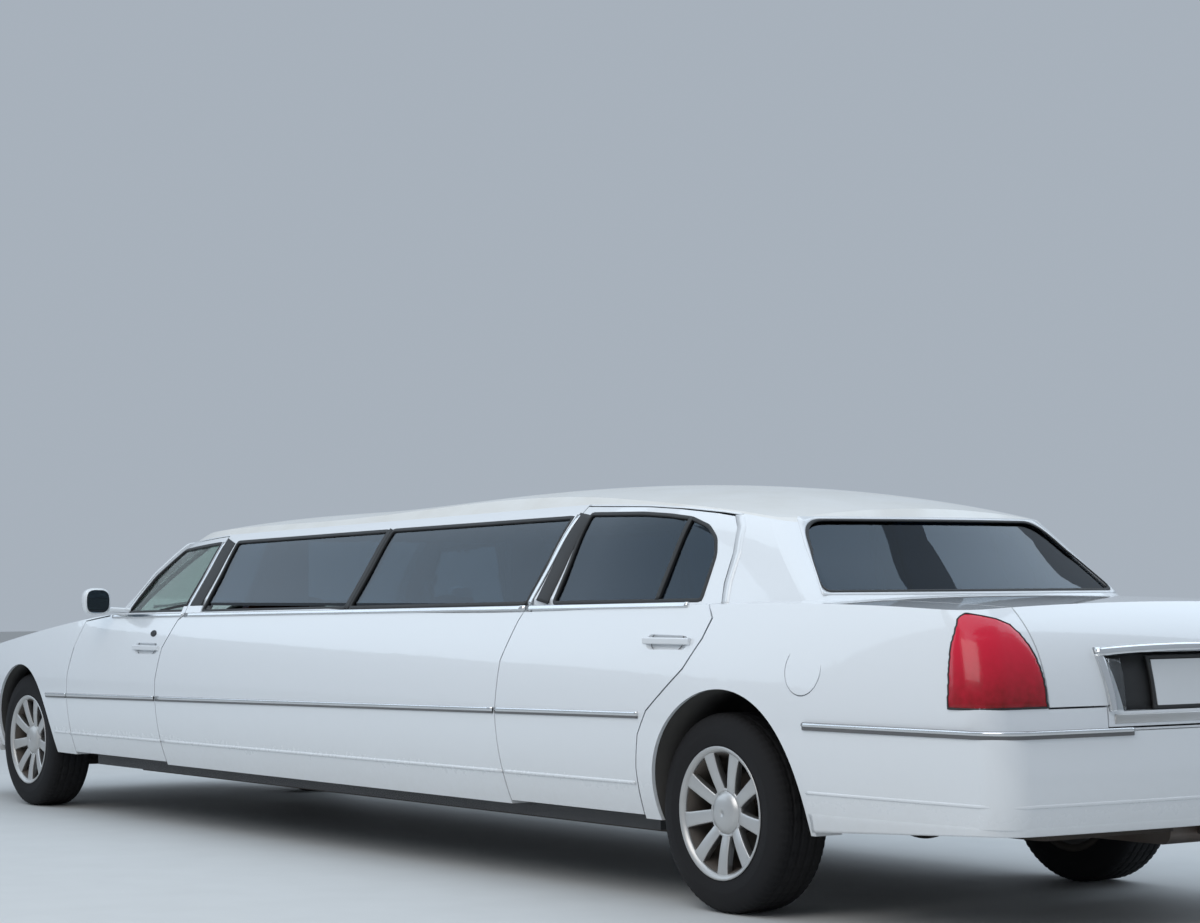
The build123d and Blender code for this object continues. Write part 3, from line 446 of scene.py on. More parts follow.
def end_path(z, rear, rows=LOWER_ROWS, y_stop=0.0, x_start=None, count=80):
    """The lower body's plan outline at one height round one left corner, from the side to y_stop.

    It is the side's arc, a cubic that stands for the corner's circle, and the end's arc.
    """
    column, sign = (2, -1) if rear else (4, 1)
    bow, radius = (REAR_BOW, REAR_CORNER) if rear else (FRONT_BOW, FRONT_CORNER)
    corner_x = column_at(rows, column, [z])[0]
    corner_y = column_at(rows, column + 1, [z])[0]
    side_x = np.linspace(LOWER_MID[0] if rear else LOWER_MID[1], corner_x, 160)
    side = np.stack([side_x, wall_y(side_x, np.full(160, z), rows)], 1)
    end_y = np.linspace(corner_y, 0.0, 160)
    face = np.stack([bowed(corner_x, corner_y, bow, end_y, sign), end_y], 1)
    first, second = unit(side[-1] - side[-2]), unit(face[1] - face[0])
    turn = math.acos(np.clip(first @ second, -1, 1))
    back = radius * math.tan(turn / 2)
    handle = 4 / 3 * math.tan(turn / 4) * radius
    side = side[np.linalg.norm(side - side[-1], axis=1) > back]
    face = face[np.linalg.norm(face - face[0], axis=1) > back]
    t = np.linspace(0, 1, 16)[:, None]
    a, d = side[-1], face[0]
    b, c = a + first * handle, d - second * handle
    round_part = (1 - t) ** 3 * a + 3 * (1 - t) ** 2 * t * b + 3 * (1 - t) * t ** 2 * c + t ** 3 * d
    line = np.concatenate([side[:-1], round_part, face[1:]])
    if x_start is not None:
        line = line[sign * (line[:, 0] - x_start) >= 0]
    return spaced(line[line[:, 1] >= y_stop], count)


def plan_normals(line, rear):
    """Outward directions of a plan path: its tangent turned a quarter."""
    tangent = unit(np.gradient(line, axis=0))
    turn = 1 if rear else -1
    return np.stack([tangent[:, 1] * turn, -tangent[:, 0] * turn], 1)


def end_strip(z, rear, section, sign=1, lift=0.0, **where):
    """A strip carried round one corner of the body at one height."""
    line = end_path(z, rear, **where)
    normal = plan_normals(line, rear)
    path = to_row(np.column_stack([line + lift * normal, np.full(len(line), z)]))
    side = np.column_stack([normal, np.zeros(len(line))])
    up = np.tile([0.0, 0.0, 1.0], (len(line), 1))
    return carried(*on_side(sign, path, side), up, section)


def end_x(y, z, rear=True):
    """Place along the car of the lower body's end face."""
    column, sign, bow = (2, -1, REAR_BOW) if rear else (4, 1, FRONT_BOW)
    return bowed(column_at(LOWER_ROWS, column, z), column_at(LOWER_ROWS, column + 1, z), bow, y, sign)


def screen_x(y, z, rear):
    """Place along the car of the cabin's end face, where the screens lie."""
    first, sign = (2, -1) if rear else (5, 1)
    corner_x, corner_y, bow = (column_at(CABIN_ROWS, first + step, z) for step in range(3))
    return bowed(corner_x, corner_y, bow, y, sign)


def rounded_outline(points, radius, steps=6):
    """A closed outline whose corners are replaced by quadratic curves that start and end a radius away."""
    points = np.asarray(points, float)
    ends = []
    for neighbour in (np.roll(points, 1, axis=0), np.roll(points, -1, axis=0)):
        reach = np.linalg.norm(neighbour - points, axis=1, keepdims=True)
        ends.append(points + (neighbour - points) / reach * np.minimum(radius, reach * 0.45))
    start, end = ends
    t = np.linspace(0, 1, steps)[None, :, None]
    curve = (1 - t) ** 2 * start[:, None] + 2 * (1 - t) * t * points[:, None] + t ** 2 * end[:, None]
    return curve.reshape(-1, 2)


def spaced(line, count, closed=False):
    """The same line with evenly spaced points."""
    line = np.asarray(line, float)
    if closed:
        line = np.concatenate([line, line[:1]])
    length = np.concatenate([[0], np.cumsum(np.linalg.norm(np.diff(line, axis=0), axis=1))])
    where = np.linspace(0, length[-1], count + (1 if closed else 0))[:count]
    return np.stack([np.interp(where, length, line[:, i]) for i in range(line.shape[1])], 1)


def window_trim(points, sign, section, lift=0.0, inset=0.0, corner=0.020, count=240):
    """A frame carried round a window's outline on the cabin side.

    The section's first number is outward from the glass, its second toward the window's middle.
    """
    outline = spaced(rounded_outline(np.asarray(points, float) / 1000, corner), count, closed=True)
    tangent = unit(np.roll(outline, -1, axis=0) - np.roll(outline, 1, axis=0))
    inward = np.stack([-tangent[:, 1], tangent[:, 0]], 1)
    inward *= np.sign(np.sum(inward * (outline.mean(0) - outline), axis=1).mean())
    outline = outline + inset * inward
    path, normal, up = side_frame(outline[:, 0], outline[:, 1], 1, CABIN_ROWS, CABIN_MID, lift)
    along = np.tile([1.0, 0.0, 0.0], (count, 1))
    along = unit(along - np.sum(along * normal, axis=1, keepdims=True) * normal)
    across = inward[:, :1] * along + inward[:, 1:] * up
    return carried(*on_side(sign, path, normal, across), section, close_path=True)


def side_ribbon(points, sign, section, lift=0.0, count=24):
    """A strip carried along an open line on the cabin side given by x and z."""
    line = spaced(np.asarray(points, float) / 1000, count)
    path, normal, _ = side_frame(line[:, 0], line[:, 1], 1, CABIN_ROWS, CABIN_MID, lift)
    return carried(*on_side(sign, path, normal, across_path(path, normal)), section)


def power(value, exponent):
    """A power that keeps the value's sign."""
    return np.sign(value) * np.abs(value) ** exponent


def pad(low, high, edge=0.3, crown=0.0, channels=0):
    """A cushion, crowned on top and sewn with channels along x.

    It is a rounded box whose x, y and z are half sizes times signed powers of cosines and sines.
    """
    rows, columns, depth = 26, 64, 0.006
    low, high = np.asarray(low, float), np.asarray(high, float)
    half, centre = (high - low) / 2, (high + low) / 2
    v = np.linspace(-math.pi / 2, math.pi / 2, rows)[1:-1, None]
    u = np.linspace(0, 2 * math.pi, columns, endpoint=False)[None, :]
    x = power(np.cos(v), edge) * power(np.cos(u), edge)
    y = power(np.cos(v), edge) * power(np.sin(u), edge)
    z = power(np.sin(v), edge) * np.ones_like(u)
    pull = 1 - 0.03 * (1 - x ** 4) * (1 - z ** 2) * np.abs(y) ** 2
    rise = 1 + crown * (1 - x ** 4) * (1 - y ** 4) * (z > 0)
    seam = np.zeros_like(x)
    if channels:
        seam = depth / half[2] * np.abs(np.cos(np.pi * (y + 1) / 2 * channels)) ** 24 * (np.abs(y) < 0.96)
    height = z * rise / (1 + crown) - seam * np.sign(z) * (np.abs(z) > 0.5)
    points = np.stack([x * half[0], y * half[1] * pull, height * half[2]], -1) + centre
    poles = [centre + [0, 0, -half[2]], centre + [0, 0, half[2]]]
    vertices = np.concatenate([points.reshape(-1, 3), poles])
    count = (rows - 2) * columns
    faces = grid_faces(rows - 2, columns, close_columns=True).tolist()
    top = count - columns
    ring = [(i, (i + 1) % columns) for i in range(columns)]
    faces += [[following, i, count] for i, following in ring]
    faces += [[top + i, top + following, count + 1] for i, following in ring]
    return vertices, outward(vertices, faces)


def turned_points(vertices, angle):
    """Points turned about the y axis through the origin."""
    c, s = math.cos(angle), math.sin(angle)
    return np.asarray(vertices) @ np.array([[c, 0, s], [0, 1, 0], [-s, 0, c]]).T


def effect_group(name, inputs, outputs, build):
    """Makes a shader node group with named number inputs and outputs."""
    group = bpy.data.node_groups.new(name, "ShaderNodeTree")
    for label, value in inputs.items():
        socket = group.interface.new_socket(label, in_out="INPUT", socket_type="NodeSocketFloat")
        socket.default_value = value
    for label in outputs:
        group.interface.new_socket(label, in_out="OUTPUT", socket_type="NodeSocketFloat")
    entry, leave = group.nodes.new("NodeGroupInput"), group.nodes.new("NodeGroupOutput")
    build(group, entry, leave)


def math_node(tree, operation, first, second=None):
    """The output of a math node whose inputs are numbers or other nodes' outputs."""
    node = tree.nodes.new("ShaderNodeMath")
    node.operation = operation
    for socket, value in zip(node.inputs, (first, second)):
        if isinstance(value, (int, float)):
            socket.default_value = value
        elif value is not None:
            tree.links.new(value, socket)
    return node.outputs[0]


def noise_node(tree, vector, scale, detail=3.0):
    """The output of a noise node whose scale is a number or another node's output."""
    node = tree.nodes.new("ShaderNodeTexNoise")
    node.inputs["Detail"].default_value = detail
    if isinstance(scale, (int, float)):
        node.inputs["Scale"].default_value = scale
    else:
        tree.links.new(scale, node.inputs["Scale"])
    tree.links.new(vector, node.inputs["Vector"])
    return node.outputs["Fac"]


def dust_and_shade_by_height(group, entry, leave):
    """A mask that is thick at the Low height, gone at the High one, and broken up by two noises. It is road
    dust on the body paint and painted shade on the tail lamps.
    """
    place = group.nodes.new("ShaderNodeTexCoord").outputs["Object"]
    split = group.nodes.new("ShaderNodeSeparateXYZ")
    group.links.new(place, split.inputs[0])
    spread = group.nodes.new("ShaderNodeMapRange")
    group.links.new(split.outputs["Z"], spread.inputs["Value"])
    group.links.new(entry.outputs["Low"], spread.inputs["From Min"])
    group.links.new(entry.outputs["High"], spread.inputs["From Max"])
    spread.inputs["To Min"].default_value, spread.inputs["To Max"].default_value = 1.0, 0.0
    coarse = noise_node(group, place, 2.3)
    fine = noise_node(group, place, 38.0, 5.0)
    noises = math_node(group, "ADD", coarse, fine)
    fading = math_node(group, "POWER", spread.outputs[0], 1.6)
    broken = math_node(group, "MULTIPLY", noises, fading)
    group.links.new(math_node(group, "MULTIPLY", broken, entry.outputs["Amount"]), leave.inputs["Mask"])


def fine_grain(group, entry, leave):
    """Two noises, one three times finer, for a height and a slow mask."""
    place = group.nodes.new("ShaderNodeTexCoord").outputs["Object"]
    first = noise_node(group, place, entry.outputs["Scale"], 2.0)
    second = noise_node(group, place, math_node(group, "MULTIPLY", entry.outputs["Scale"], 3.1), 4.0)
    height = math_node(group, "ADD", first, math_node(group, "MULTIPLY", second, 0.5))
    group.links.new(height, leave.inputs["Height"])
    group.links.new(noise_node(group, place, entry.outputs["Blotch"], 4.0), leave.inputs["Mask"])


def hide_grain(group, entry, leave):
    """Leather cells: the distance to the edges of a broken-up cell pattern."""
    place = group.nodes.new("ShaderNodeTexCoord").outputs["Object"]
    cells = group.nodes.new("ShaderNodeTexVoronoi")
    cells.feature = "DISTANCE_TO_EDGE"
    group.links.new(place, cells.inputs["Vector"])
    group.links.new(entry.outputs["Scale"], cells.inputs["Scale"])
    soft = math_node(group, "POWER", cells.outputs["Distance"], 0.5)
    group.links.new(soft, leave.inputs["Height"])
    group.links.new(noise_node(group, place, 6.0, 5.0), leave.inputs["Mask"])


def effects():
    """The node groups that several finishes share."""
    if "Road film" not in bpy.data.node_groups:
        effect_group("Road film", {"Low": 0.2, "High": 0.7, "Amount": 0.3}, ["Mask"], dust_and_shade_by_height)
        effect_group("Fine grain", {"Scale": 300.0, "Blotch": 4.0}, ["Height", "Mask"], fine_grain)
        effect_group("Hide grain", {"Scale": 260.0}, ["Height", "Mask"], hide_grain)
    return bpy.data.node_groups


def finish(name, colour, roughness, metallic=0.0, wear_and_shade=None, dust_and_shade=None, grain=None, hide=None,
           rough_spread=0.0, **extra):
    """Makes a finish: one Principled shader with a bump from its grain.

    Its colour drifts to a second colour under a height mask or blotches. The height mask is road dust on the
    body paint and painted shade at the bottom of the tail lamps.
    """
    groups = effects()
    material = bpy.data.materials.new(name)
    material.use_nodes = True
    tree = material.node_tree
    shader = tree.nodes["Principled BSDF"]
    shader.inputs["Base Color"].default_value = (*colour, 1)
    shader.inputs["Roughness"].default_value = roughness
    shader.inputs["Metallic"].default_value = metallic
    for key, value in extra.items():
        shader.inputs[key.replace("_", " ")].default_value = value
    mask = None
    # Height mask: road dust on the body paint, painted shade on the tail lamps.
    if dust_and_shade:
        dust_and_shade_node = tree.nodes.new("ShaderNodeGroup")
        dust_and_shade_node.node_tree = groups["Road film"]
        for label, value in zip(("Low", "High", "Amount"), dust_and_shade):
            dust_and_shade_node.inputs[label].default_value = value
        mask = dust_and_shade_node.outputs["Mask"]
    pattern = None
    if grain or hide:
        pattern = tree.nodes.new("ShaderNodeGroup")
        pattern.node_tree = groups["Hide grain" if hide else "Fine grain"]
        scale, strength, distance = hide or grain
        pattern.inputs["Scale"].default_value = scale
        bump = tree.nodes.new("ShaderNodeBump")
        bump.inputs["Strength"].default_value = strength
        bump.inputs["Distance"].default_value = distance
        tree.links.new(pattern.outputs["Height"], bump.inputs["Height"])
        tree.links.new(bump.outputs["Normal"], shader.inputs["Normal"])
        if mask is None:
            mask = pattern.outputs["Mask"]
    if wear_and_shade and mask is not None:
        mix = tree.nodes.new("ShaderNodeMix")
        mix.data_type = "RGBA"
        mix.inputs[MIX_FIRST].default_value = (*colour, 1)
        mix.inputs[MIX_SECOND].default_value = (*wear_and_shade, 1)
        tree.links.new(mask, mix.inputs[0])
        tree.links.new(mix.outputs[MIX_RESULT], shader.inputs["Base Color"])
    if rough_spread and mask is not None:
        spread = tree.nodes.new("ShaderNodeMapRange")
        spread.inputs["To Min"].default_value = roughness
        spread.inputs["To Max"].default_value = min(1.0, roughness + rough_spread)
        tree.links.new(mask, spread.inputs["Value"])
        tree.links.new(spread.outputs[0], shader.inputs["Roughness"])
    MATERIALS[name] = material


class LimousineFinish(bpy.types.PropertyGroup):
    """Colours of the finishes."""
    paint: bpy.props.FloatVectorProperty(
        name="Body paint", description="Colour of the body panels",
        subtype="COLOR", size=3, default=(0.78, 0.80, 0.82), min=0, max=1)
    # The roof colour is the body paint made lighter and less blue: painted light falling on the top.
    roof: bpy.props.FloatVectorProperty(
        name="Roof paint", description="Colour of the roof panel",
        subtype="COLOR", size=3, default=(0.83, 0.83, 0.82), min=0, max=1)
    tint: bpy.props.FloatVectorProperty(
        name="Dark glass", description="Colour of the tinted windows",
        subtype="COLOR", size=3, default=(0.030, 0.052, 0.080), min=0, max=1)
    leather: bpy.props.FloatVectorProperty(
        name="Leather", description="Colour of the seats",
        subtype="COLOR", size=3, default=(0.32, 0.30, 0.28), min=0, max=1)


class LimousineTrim(bpy.types.PropertyGroup):
    """Sizes of the trim."""
    belt_height: bpy.props.FloatProperty(
        name="Sill strip height", description="Height of the bright strip under the windows",
        default=0.020, unit="LENGTH")
    rub_height: bpy.props.FloatProperty(
        name="Rub strip height", description="Height of the strip along the sides",
        default=0.024, unit="LENGTH")
    strip_depth: bpy.props.FloatProperty(
        name="Strip depth", description="How far the strips stand out",
        default=0.010, unit="LENGTH")


class LimousineWheel(bpy.types.PropertyGroup):
    """Sizes of the wheels."""
    spokes: bpy.props.IntProperty(
        name="Spokes", description="Number of spokes in each wheel", default=9, min=5, max=12)
    groove_depth: bpy.props.FloatProperty(
        name="Groove depth", description="Depth of the grooves in the tread",
        default=0.007, unit="LENGTH")


class LIMO_OT_finishes(bpy.types.Operator):
    """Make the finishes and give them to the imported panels"""
    bl_idname = "limousine.finishes"
    bl_label = "Finishes"

    def execute(self, context):
        colours = context.scene.limousine_finish
        finish("paint", tuple(colours.paint), 0.24, wear_and_shade=(0.50, 0.46, 0.40),
               dust_and_shade=(0.22, 0.62, 0.30), rough_spread=0.35, Coat_Weight=1.0, Coat_Roughness=0.03)
        # The roof paint's lighter, less blue colour is painted light on the top.
        finish("roof_paint", tuple(colours.roof), 0.42, wear_and_shade=(0.62, 0.59, 0.53),
               grain=(420.0, 0.05, 0.0005), rough_spread=0.15, Coat_Weight=0.7, Coat_Roughness=0.10)
        finish("chrome_trim", (0.80, 0.81, 0.82), 0.07, 1.0, wear_and_shade=(0.60, 0.60, 0.60),
               grain=(60.0, 0.03, 0.0004), rough_spread=0.16)
        finish("dark_glass", tuple(colours.tint), 0.01, Transmission_Weight=1.0, IOR=1.5,
               Specular_IOR_Level=0.38, Specular_Tint=(0.62, 0.82, 1.0, 1.0))
        finish("clear_glass", (0.72, 0.84, 0.78), 0.0, Transmission_Weight=1.0, IOR=1.45)
        # Painted shade: the tail lamps' red turns darker toward their bottom under the height mask.
        finish("lamp_red", (0.66, 0.006, 0.035), 0.16, wear_and_shade=(0.20, 0.0, 0.0), dust_and_shade=(0.72, 1.0, 0.9),
               grain=(150.0, 0.25, 0.0015), Coat_Weight=0.35, Coat_Roughness=0.03, Specular_IOR_Level=0.3)
        finish("lamp_clear", (0.90, 0.93, 0.95), 0.02, Transmission_Weight=1.0, IOR=1.45)
        finish("alloy", (0.66, 0.665, 0.67), 0.30, 0.85, wear_and_shade=(0.42, 0.40, 0.37),
               grain=(700.0, 0.10, 0.0003), rough_spread=0.2)
        finish("tyre", (0.007, 0.007, 0.009), 0.78, wear_and_shade=(0.018, 0.017, 0.017),
               grain=(260.0, 0.35, 0.0008), rough_spread=0.15, Specular_IOR_Level=0.3)
        finish("steel", (0.022, 0.022, 0.023), 0.55, wear_and_shade=(0.10, 0.075, 0.055),
               grain=(90.0, 0.30, 0.001), rough_spread=0.3)
        finish("iron", (0.075, 0.072, 0.07), 0.6, 0.5, wear_and_shade=(0.16, 0.09, 0.055),
               grain=(140.0, 0.45, 0.0012), rough_spread=0.3)
        finish("exhaust_steel", (0.30, 0.28, 0.26), 0.40, 0.9, wear_and_shade=(0.16, 0.10, 0.07),
               grain=(50.0, 0.2, 0.0008), rough_spread=0.35)
        finish("liner", (0.014, 0.014, 0.014), 0.9, wear_and_shade=(0.06, 0.055, 0.05), grain=(500.0, 0.6, 0.0015))
        finish("carpet", (0.030, 0.030, 0.033), 0.95, wear_and_shade=(0.05, 0.05, 0.052),
               grain=(900.0, 0.8, 0.002), Sheen_Weight=0.3)
        finish("trim", (0.055, 0.055, 0.058), 0.55, wear_and_shade=(0.075, 0.073, 0.072),
               hide=(420.0, 0.25, 0.0006), rough_spread=0.1)
        finish("leather", tuple(colours.leather), 0.45, wear_and_shade=(0.24, 0.225, 0.21),
               hide=(260.0, 0.35, 0.0009), rough_spread=0.15)
        finish("wood", (0.14, 0.05, 0.025), 0.22, wear_and_shade=(0.05, 0.016, 0.008),
               grain=(24.0, 0.04, 0.0005), Coat_Weight=0.8, Coat_Roughness=0.05)
        finish("rubber", (0.009, 0.009, 0.010), 0.55, wear_and_shade=(0.03, 0.03, 0.03), grain=(350.0, 0.2, 0.0004))
        finish("strip_grey", (0.10, 0.10, 0.11), 0.38, wear_and_shade=(0.16, 0.155, 0.15),
               grain=(350.0, 0.1, 0.0003), rough_spread=0.1)
        finish("plate_white", (0.74, 0.76, 0.77), 0.35, wear_and_shade=(0.60, 0.61, 0.62), grain=(220.0, 0.1, 0.0003))
        # The mirror glass is dark blue-teal rather than silver: a painted reflection of dark surroundings.
        finish("mirror_glass", (0.20, 0.25, 0.29), 0.01, 1.0, wear_and_shade=(0.18, 0.22, 0.26),
               grain=(5.0, 0.01, 0.0001))
        finish("floor", (0.62, 0.62, 0.61), 0.65, wear_and_shade=(0.56, 0.56, 0.55), grain=(30.0, 0.08, 0.002))
        slots = {item["node"]: item["material_slot"] for item in frame["record"]["subparts"]}
        for name, node in frame["nodes"].items():
            node.data.materials.clear()
            node.data.materials.append(MATERIALS[slots[name]])
        return {"FINISHED"}


class LIMO_OT_strips(bpy.types.Operator):
    """Fit the bright strips under the windows and along the sides, and the moulding over the sills"""
    bl_idname = "limousine.strips"
    bl_label = "Side strips"

    def execute(self, context):
        trim = context.scene.limousine_trim
        belt = rounded_section(trim.strip_depth, trim.belt_height, 0.004)
        rub = rounded_section(trim.strip_depth + 0.003, trim.rub_height * 0.72, 0.005)
        base = rounded_section(trim.strip_depth, trim.rub_height, 0.003)
        bead = rounded_section(0.012, 0.014, 0.005)
        groups = (
            (RUB_SPANS, (("rub_base", strip_z, base, 0.001, "strip_grey", "chrome_trim"),
                         ("rub_strip", bright_z, rub, 0.002, "chrome_trim", "chrome_trim"))),
            (SILL_SPANS, (("sill_strip", sill_strip_z, belt, 0.001, "chrome_trim", "chrome_trim"),)),
            (MOULDING_SPANS, (("sill_moulding", moulding_z, bead, -0.001, "paint", "paint"),)),
        )
        for sign, side in SIDES:
            for spans, strips in groups:
                for name, rides, start, end in spans:
                    body = rides if rides == "body" else f"{rides}_{side}"
                    for kind, height_line, section, lift, material, slot in strips:
                        strip = side_strip(start, end, height_line, section, sign, lift)
                        add_mesh(f"{kind}_{name}_{side}", strip, material, body, slot)
        return {"FINISHED"}


def rear_screen_frame(inner, outer, top, sharp_outside, count=260):
    """A closed frame on the rear screen.

    It starts on the rounded outline and ends on it or on the sharp one, each moved by a distance
    from the screen's middle, which fades out beside the middle's own lines. The top is its height
    above the glass.
    """
    steps, fade = 13, 12
    curve = rounded_outline(REAR_SCREEN, REAR_ROUNDING, steps)
    by_corner = curve.reshape(len(REAR_SCREEN), steps, 2)
    start, corner, end = by_corner[:, :1], REAR_SCREEN[:, None], by_corner[:, -1:]
    t = np.linspace(0, 1, steps)[None, :, None]
    sharp = np.where(t < 0.5, start + (corner - start) * 2 * t, corner + (end - corner) * (2 * t - 1))
    outside = sharp.reshape(-1, 2) if sharp_outside else curve
    both = spaced(np.concatenate([curve, outside], axis=1), count, closed=True)
    size = np.ptp(REAR_SCREEN, axis=0)
    edges = []
    for line, shift in ((both[:, :2], inner), (both[:, 2:], outer)):
        offset = line - REAR_SCREEN.mean(0)
        line = line + shift * np.sign(offset) * np.minimum(1, fade * np.abs(offset) / size)
        edges.append(to_row(np.column_stack([screen_x(line[:, 0], line[:, 1], True), line])))
    low, high = -0.002 * REAR_OUTWARD, top * REAR_OUTWARD
    section = [edges[0] + low, edges[0] + high, edges[1] + high, edges[1] + low]
    return shell(np.stack(section, axis=1), close_path=True)


class LIMO_OT_window_trims(bpy.types.Operator):
    """Frame the side windows, the pillars and the rear screen"""
    bl_idname = "limousine.window_trims"
    bl_label = "Window trims"

    def execute(self, context):
        gasket = rounded_section(0.014, 0.016, 0.003)
        bright = (rounded_section(0.006, 0.024, 0.002), 0.001, "chrome_trim", "chrome_trim")
        thin = (rounded_section(0.006, 0.026, 0.002), 0.0005, "rubber", "dark_glass")
        front_dark = (rounded_section(0.004, 0.10, 0.0015), 0.0005, "rubber", "dark_glass")
        rear_dark = (rounded_section(0.005, 0.088, 0.002), 0.0005, "rubber", "dark_glass")
        deep = (rounded_section(0.018, 0.020, 0.002), -0.006, "rubber", "dark_glass")
        for sign, side in SIDES:
            front, rear = f"door_front_{side}", f"door_rear_{side}"
            windows = (
                ("front_door", front, FRONT_GLASS), ("rear_door", rear, REAR_GLASS),
                ("stretch_front", "body", STRETCH_GLASS[0]), ("stretch_rear", "body", STRETCH_GLASS[1]),
            )
            for name, body, outline in windows:
                frame_shape = window_trim(outline, sign, gasket, lift=-0.005, inset=0.004)
                add_mesh(f"gasket_{name}_{side}", frame_shape, "rubber", body, "dark_glass")
            ribbons = (
                ("pillar_strip_front", front, [(4154, 1018), (4036, 1346)], bright),
                ("pillar_dark_front", "body", [(4079, 1024), (3968, 1352)], front_dark),
                ("window_divider", "body", [(2636, 1040), (2521, 1378)], thin),
                ("pillar_strip_rear", "body", [(1236, 1062), (1128, 1402)], bright),
                ("pillar_dark_rear", rear, [(1152, 1070), (1085, 1405)], rear_dark),
                ("quarter_divider", rear, [(444, 1080), (439, 1380)], deep),
            )
            for name, body, line, (section, lift, material, slot) in ribbons:
                add_mesh(f"{name}_{side}", side_ribbon(line, sign, section, lift), material, body, slot)
        add_mesh("rear_screen_edge", rear_screen_frame(-0.004, 0.006, 0.0012, True), "paint")
        gasket = rear_screen_frame(-0.010, -0.003, 0.0022, False)
        add_mesh("rear_screen_gasket", gasket, "rubber", slot="dark_glass")
        return {"FINISHED"}


class LIMO_OT_handles(bpy.types.Operator):
    """Set the keypads and shade the edge of the handle pockets"""
    bl_idname = "limousine.handles"
    bl_label = "Handles"

    def execute(self, context):
        radius, count = 0.032, 72
        angle = np.linspace(0, 2 * math.pi, count, endpoint=False)
        thread = rounded_section(0.003, 0.003, 0.001)
        for sign, side in SIDES:
            for name, start, end, height in HANDLE_POCKETS:
                straight = (end - start) / 2 - radius - 0.002
                x = (start + end) / 2 + radius * np.cos(angle) + np.sign(np.cos(angle)) * straight
                path, normal, _ = side_frame(x, height + radius * np.sin(angle), sign)
                inward = path.mean(0) - path
                inward = unit(inward - np.sum(inward * normal, axis=1, keepdims=True) * normal)
                line = carried(path - 0.002 * normal, normal, inward, thread, close_path=True)
                add_mesh(f"pocket_edge_{name}_{side}", line, "strip_grey", f"door_{name}_{side}", "trim")
            rows = 15
            path, normal, up = side_frame(np.linspace(*KEYPAD_X, rows), np.full(rows, KEYPAD_Z), sign)
            width = np.sqrt(np.clip(1 - np.linspace(-1, 1, rows) ** 2, 0.03, 1))[:, None]
            keypad = carried(path, normal, up * width, rounded_section(0.006, 0.032, 0.0025))
            add_mesh(f"keypad_{side}", keypad, "rubber", f"door_front_{side}", "trim")
        return {"FINISHED"}


def tail_ribbon(points, section, sign=1, lift=0.0, count=40):
    """A section carried along a line on the lower body's rear face, given by y and z.

    The section's first number is outward.
    """
    line = spaced(np.array(points), count)
    path = to_row(np.column_stack([end_x(line[:, 0], line[:, 1]) - lift, line[:, 0] * sign, line[:, 1]]))
    outwards = np.tile([-1.0, 0.0, 0.0], (count, 1))
    return carried(path, outwards, across_path(path, outwards), section)


def lamp_grid(rows=34, columns=44):
    """Outer points and outward directions of a tail lamp.

    At each height it takes the body's plan outline between the lamp's side edge and its inner edge.
    """
    heights = np.linspace(LAMP_EDGES[0, 0], LAMP_EDGES[-1, 0], rows)
    inner_edge, side_edge = (np.interp(heights, LAMP_EDGES[:, 0], LAMP_EDGES[:, column]) for column in (1, 2))
    points, normals = [], []
    for z, inner, side in zip(heights, inner_edge, side_edge):
        plan = end_path(z, True, count=700)
        plan = spaced(plan[(plan[:, 0] <= side) & (plan[:, 1] >= inner)], columns)
        points.append(np.column_stack([plan, np.full(columns, z)]))
        normals.append(np.column_stack([plan_normals(plan, True), np.zeros(columns)]))
    return np.array(points), np.array(normals)


def around(grid):
    """The points on a grid's edge, in order round it."""
    return np.concatenate([grid[0, :-1], grid[:-1, -1], grid[-1, :0:-1], grid[:0:-1, 0]])


def arch_sleeve(centre, radius, y_inner, sign, count=72):
    """The dark inside of a wheel arch: part of a ring that runs from just behind the arch's edge inward."""
    lip, z_low, thick = 0.014, 0.30, 0.0025
    x, z = centre
    low = math.asin(np.clip((z_low - z) / radius, -1, 1))
    angle = np.linspace(low, math.pi - low, count)
    around_x, around_z = np.cos(angle), np.sin(angle)
    outer = wall_y(x + radius * around_x, np.clip(z + radius * around_z, 0.297, 1.1)) - lip
    inner = np.full(count, y_inner)
    ring = ((radius, outer), (radius, inner), (radius + thick, inner), (radius + thick, outer))
    section = [np.column_stack([x + r * around_x, y, z + r * around_z]) for r, y in ring]
    return shell(*on_side(sign, to_row(np.stack(section, axis=1))))


def gap_flange(outline, toward, sign, count=30):
    """A painted edge that carries a fixed panel up to a door where the cabin curves in.

    It starts at the panel's outline and reaches a share of the curve's depth toward the door,
    as far as the door's slanting edge falls back there.
    """
    overlap, lift, thick = 0.004, 0.0006, 0.004
    line = spaced(np.array(outline, float) / 1000, count)
    x, z = line[:, 0], line[:, 1]
    depth = column_at(CABIN_ROWS, 1, z) - wall_y(x, z, CABIN_ROWS, CABIN_MID)
    start, reach = -overlap * toward, toward * DOOR_EDGE_SLOPE * depth
    section = []
    for shift, drop in ((start, 0.0), (reach, 0.0), (reach, thick), (start, thick)):
        y = wall_y(x + shift, z, CABIN_ROWS, CABIN_MID) + lift - drop
        section.append(np.column_stack([x + shift, y, z]))
    return shell(*on_side(sign, to_row(np.stack(section, axis=1))))


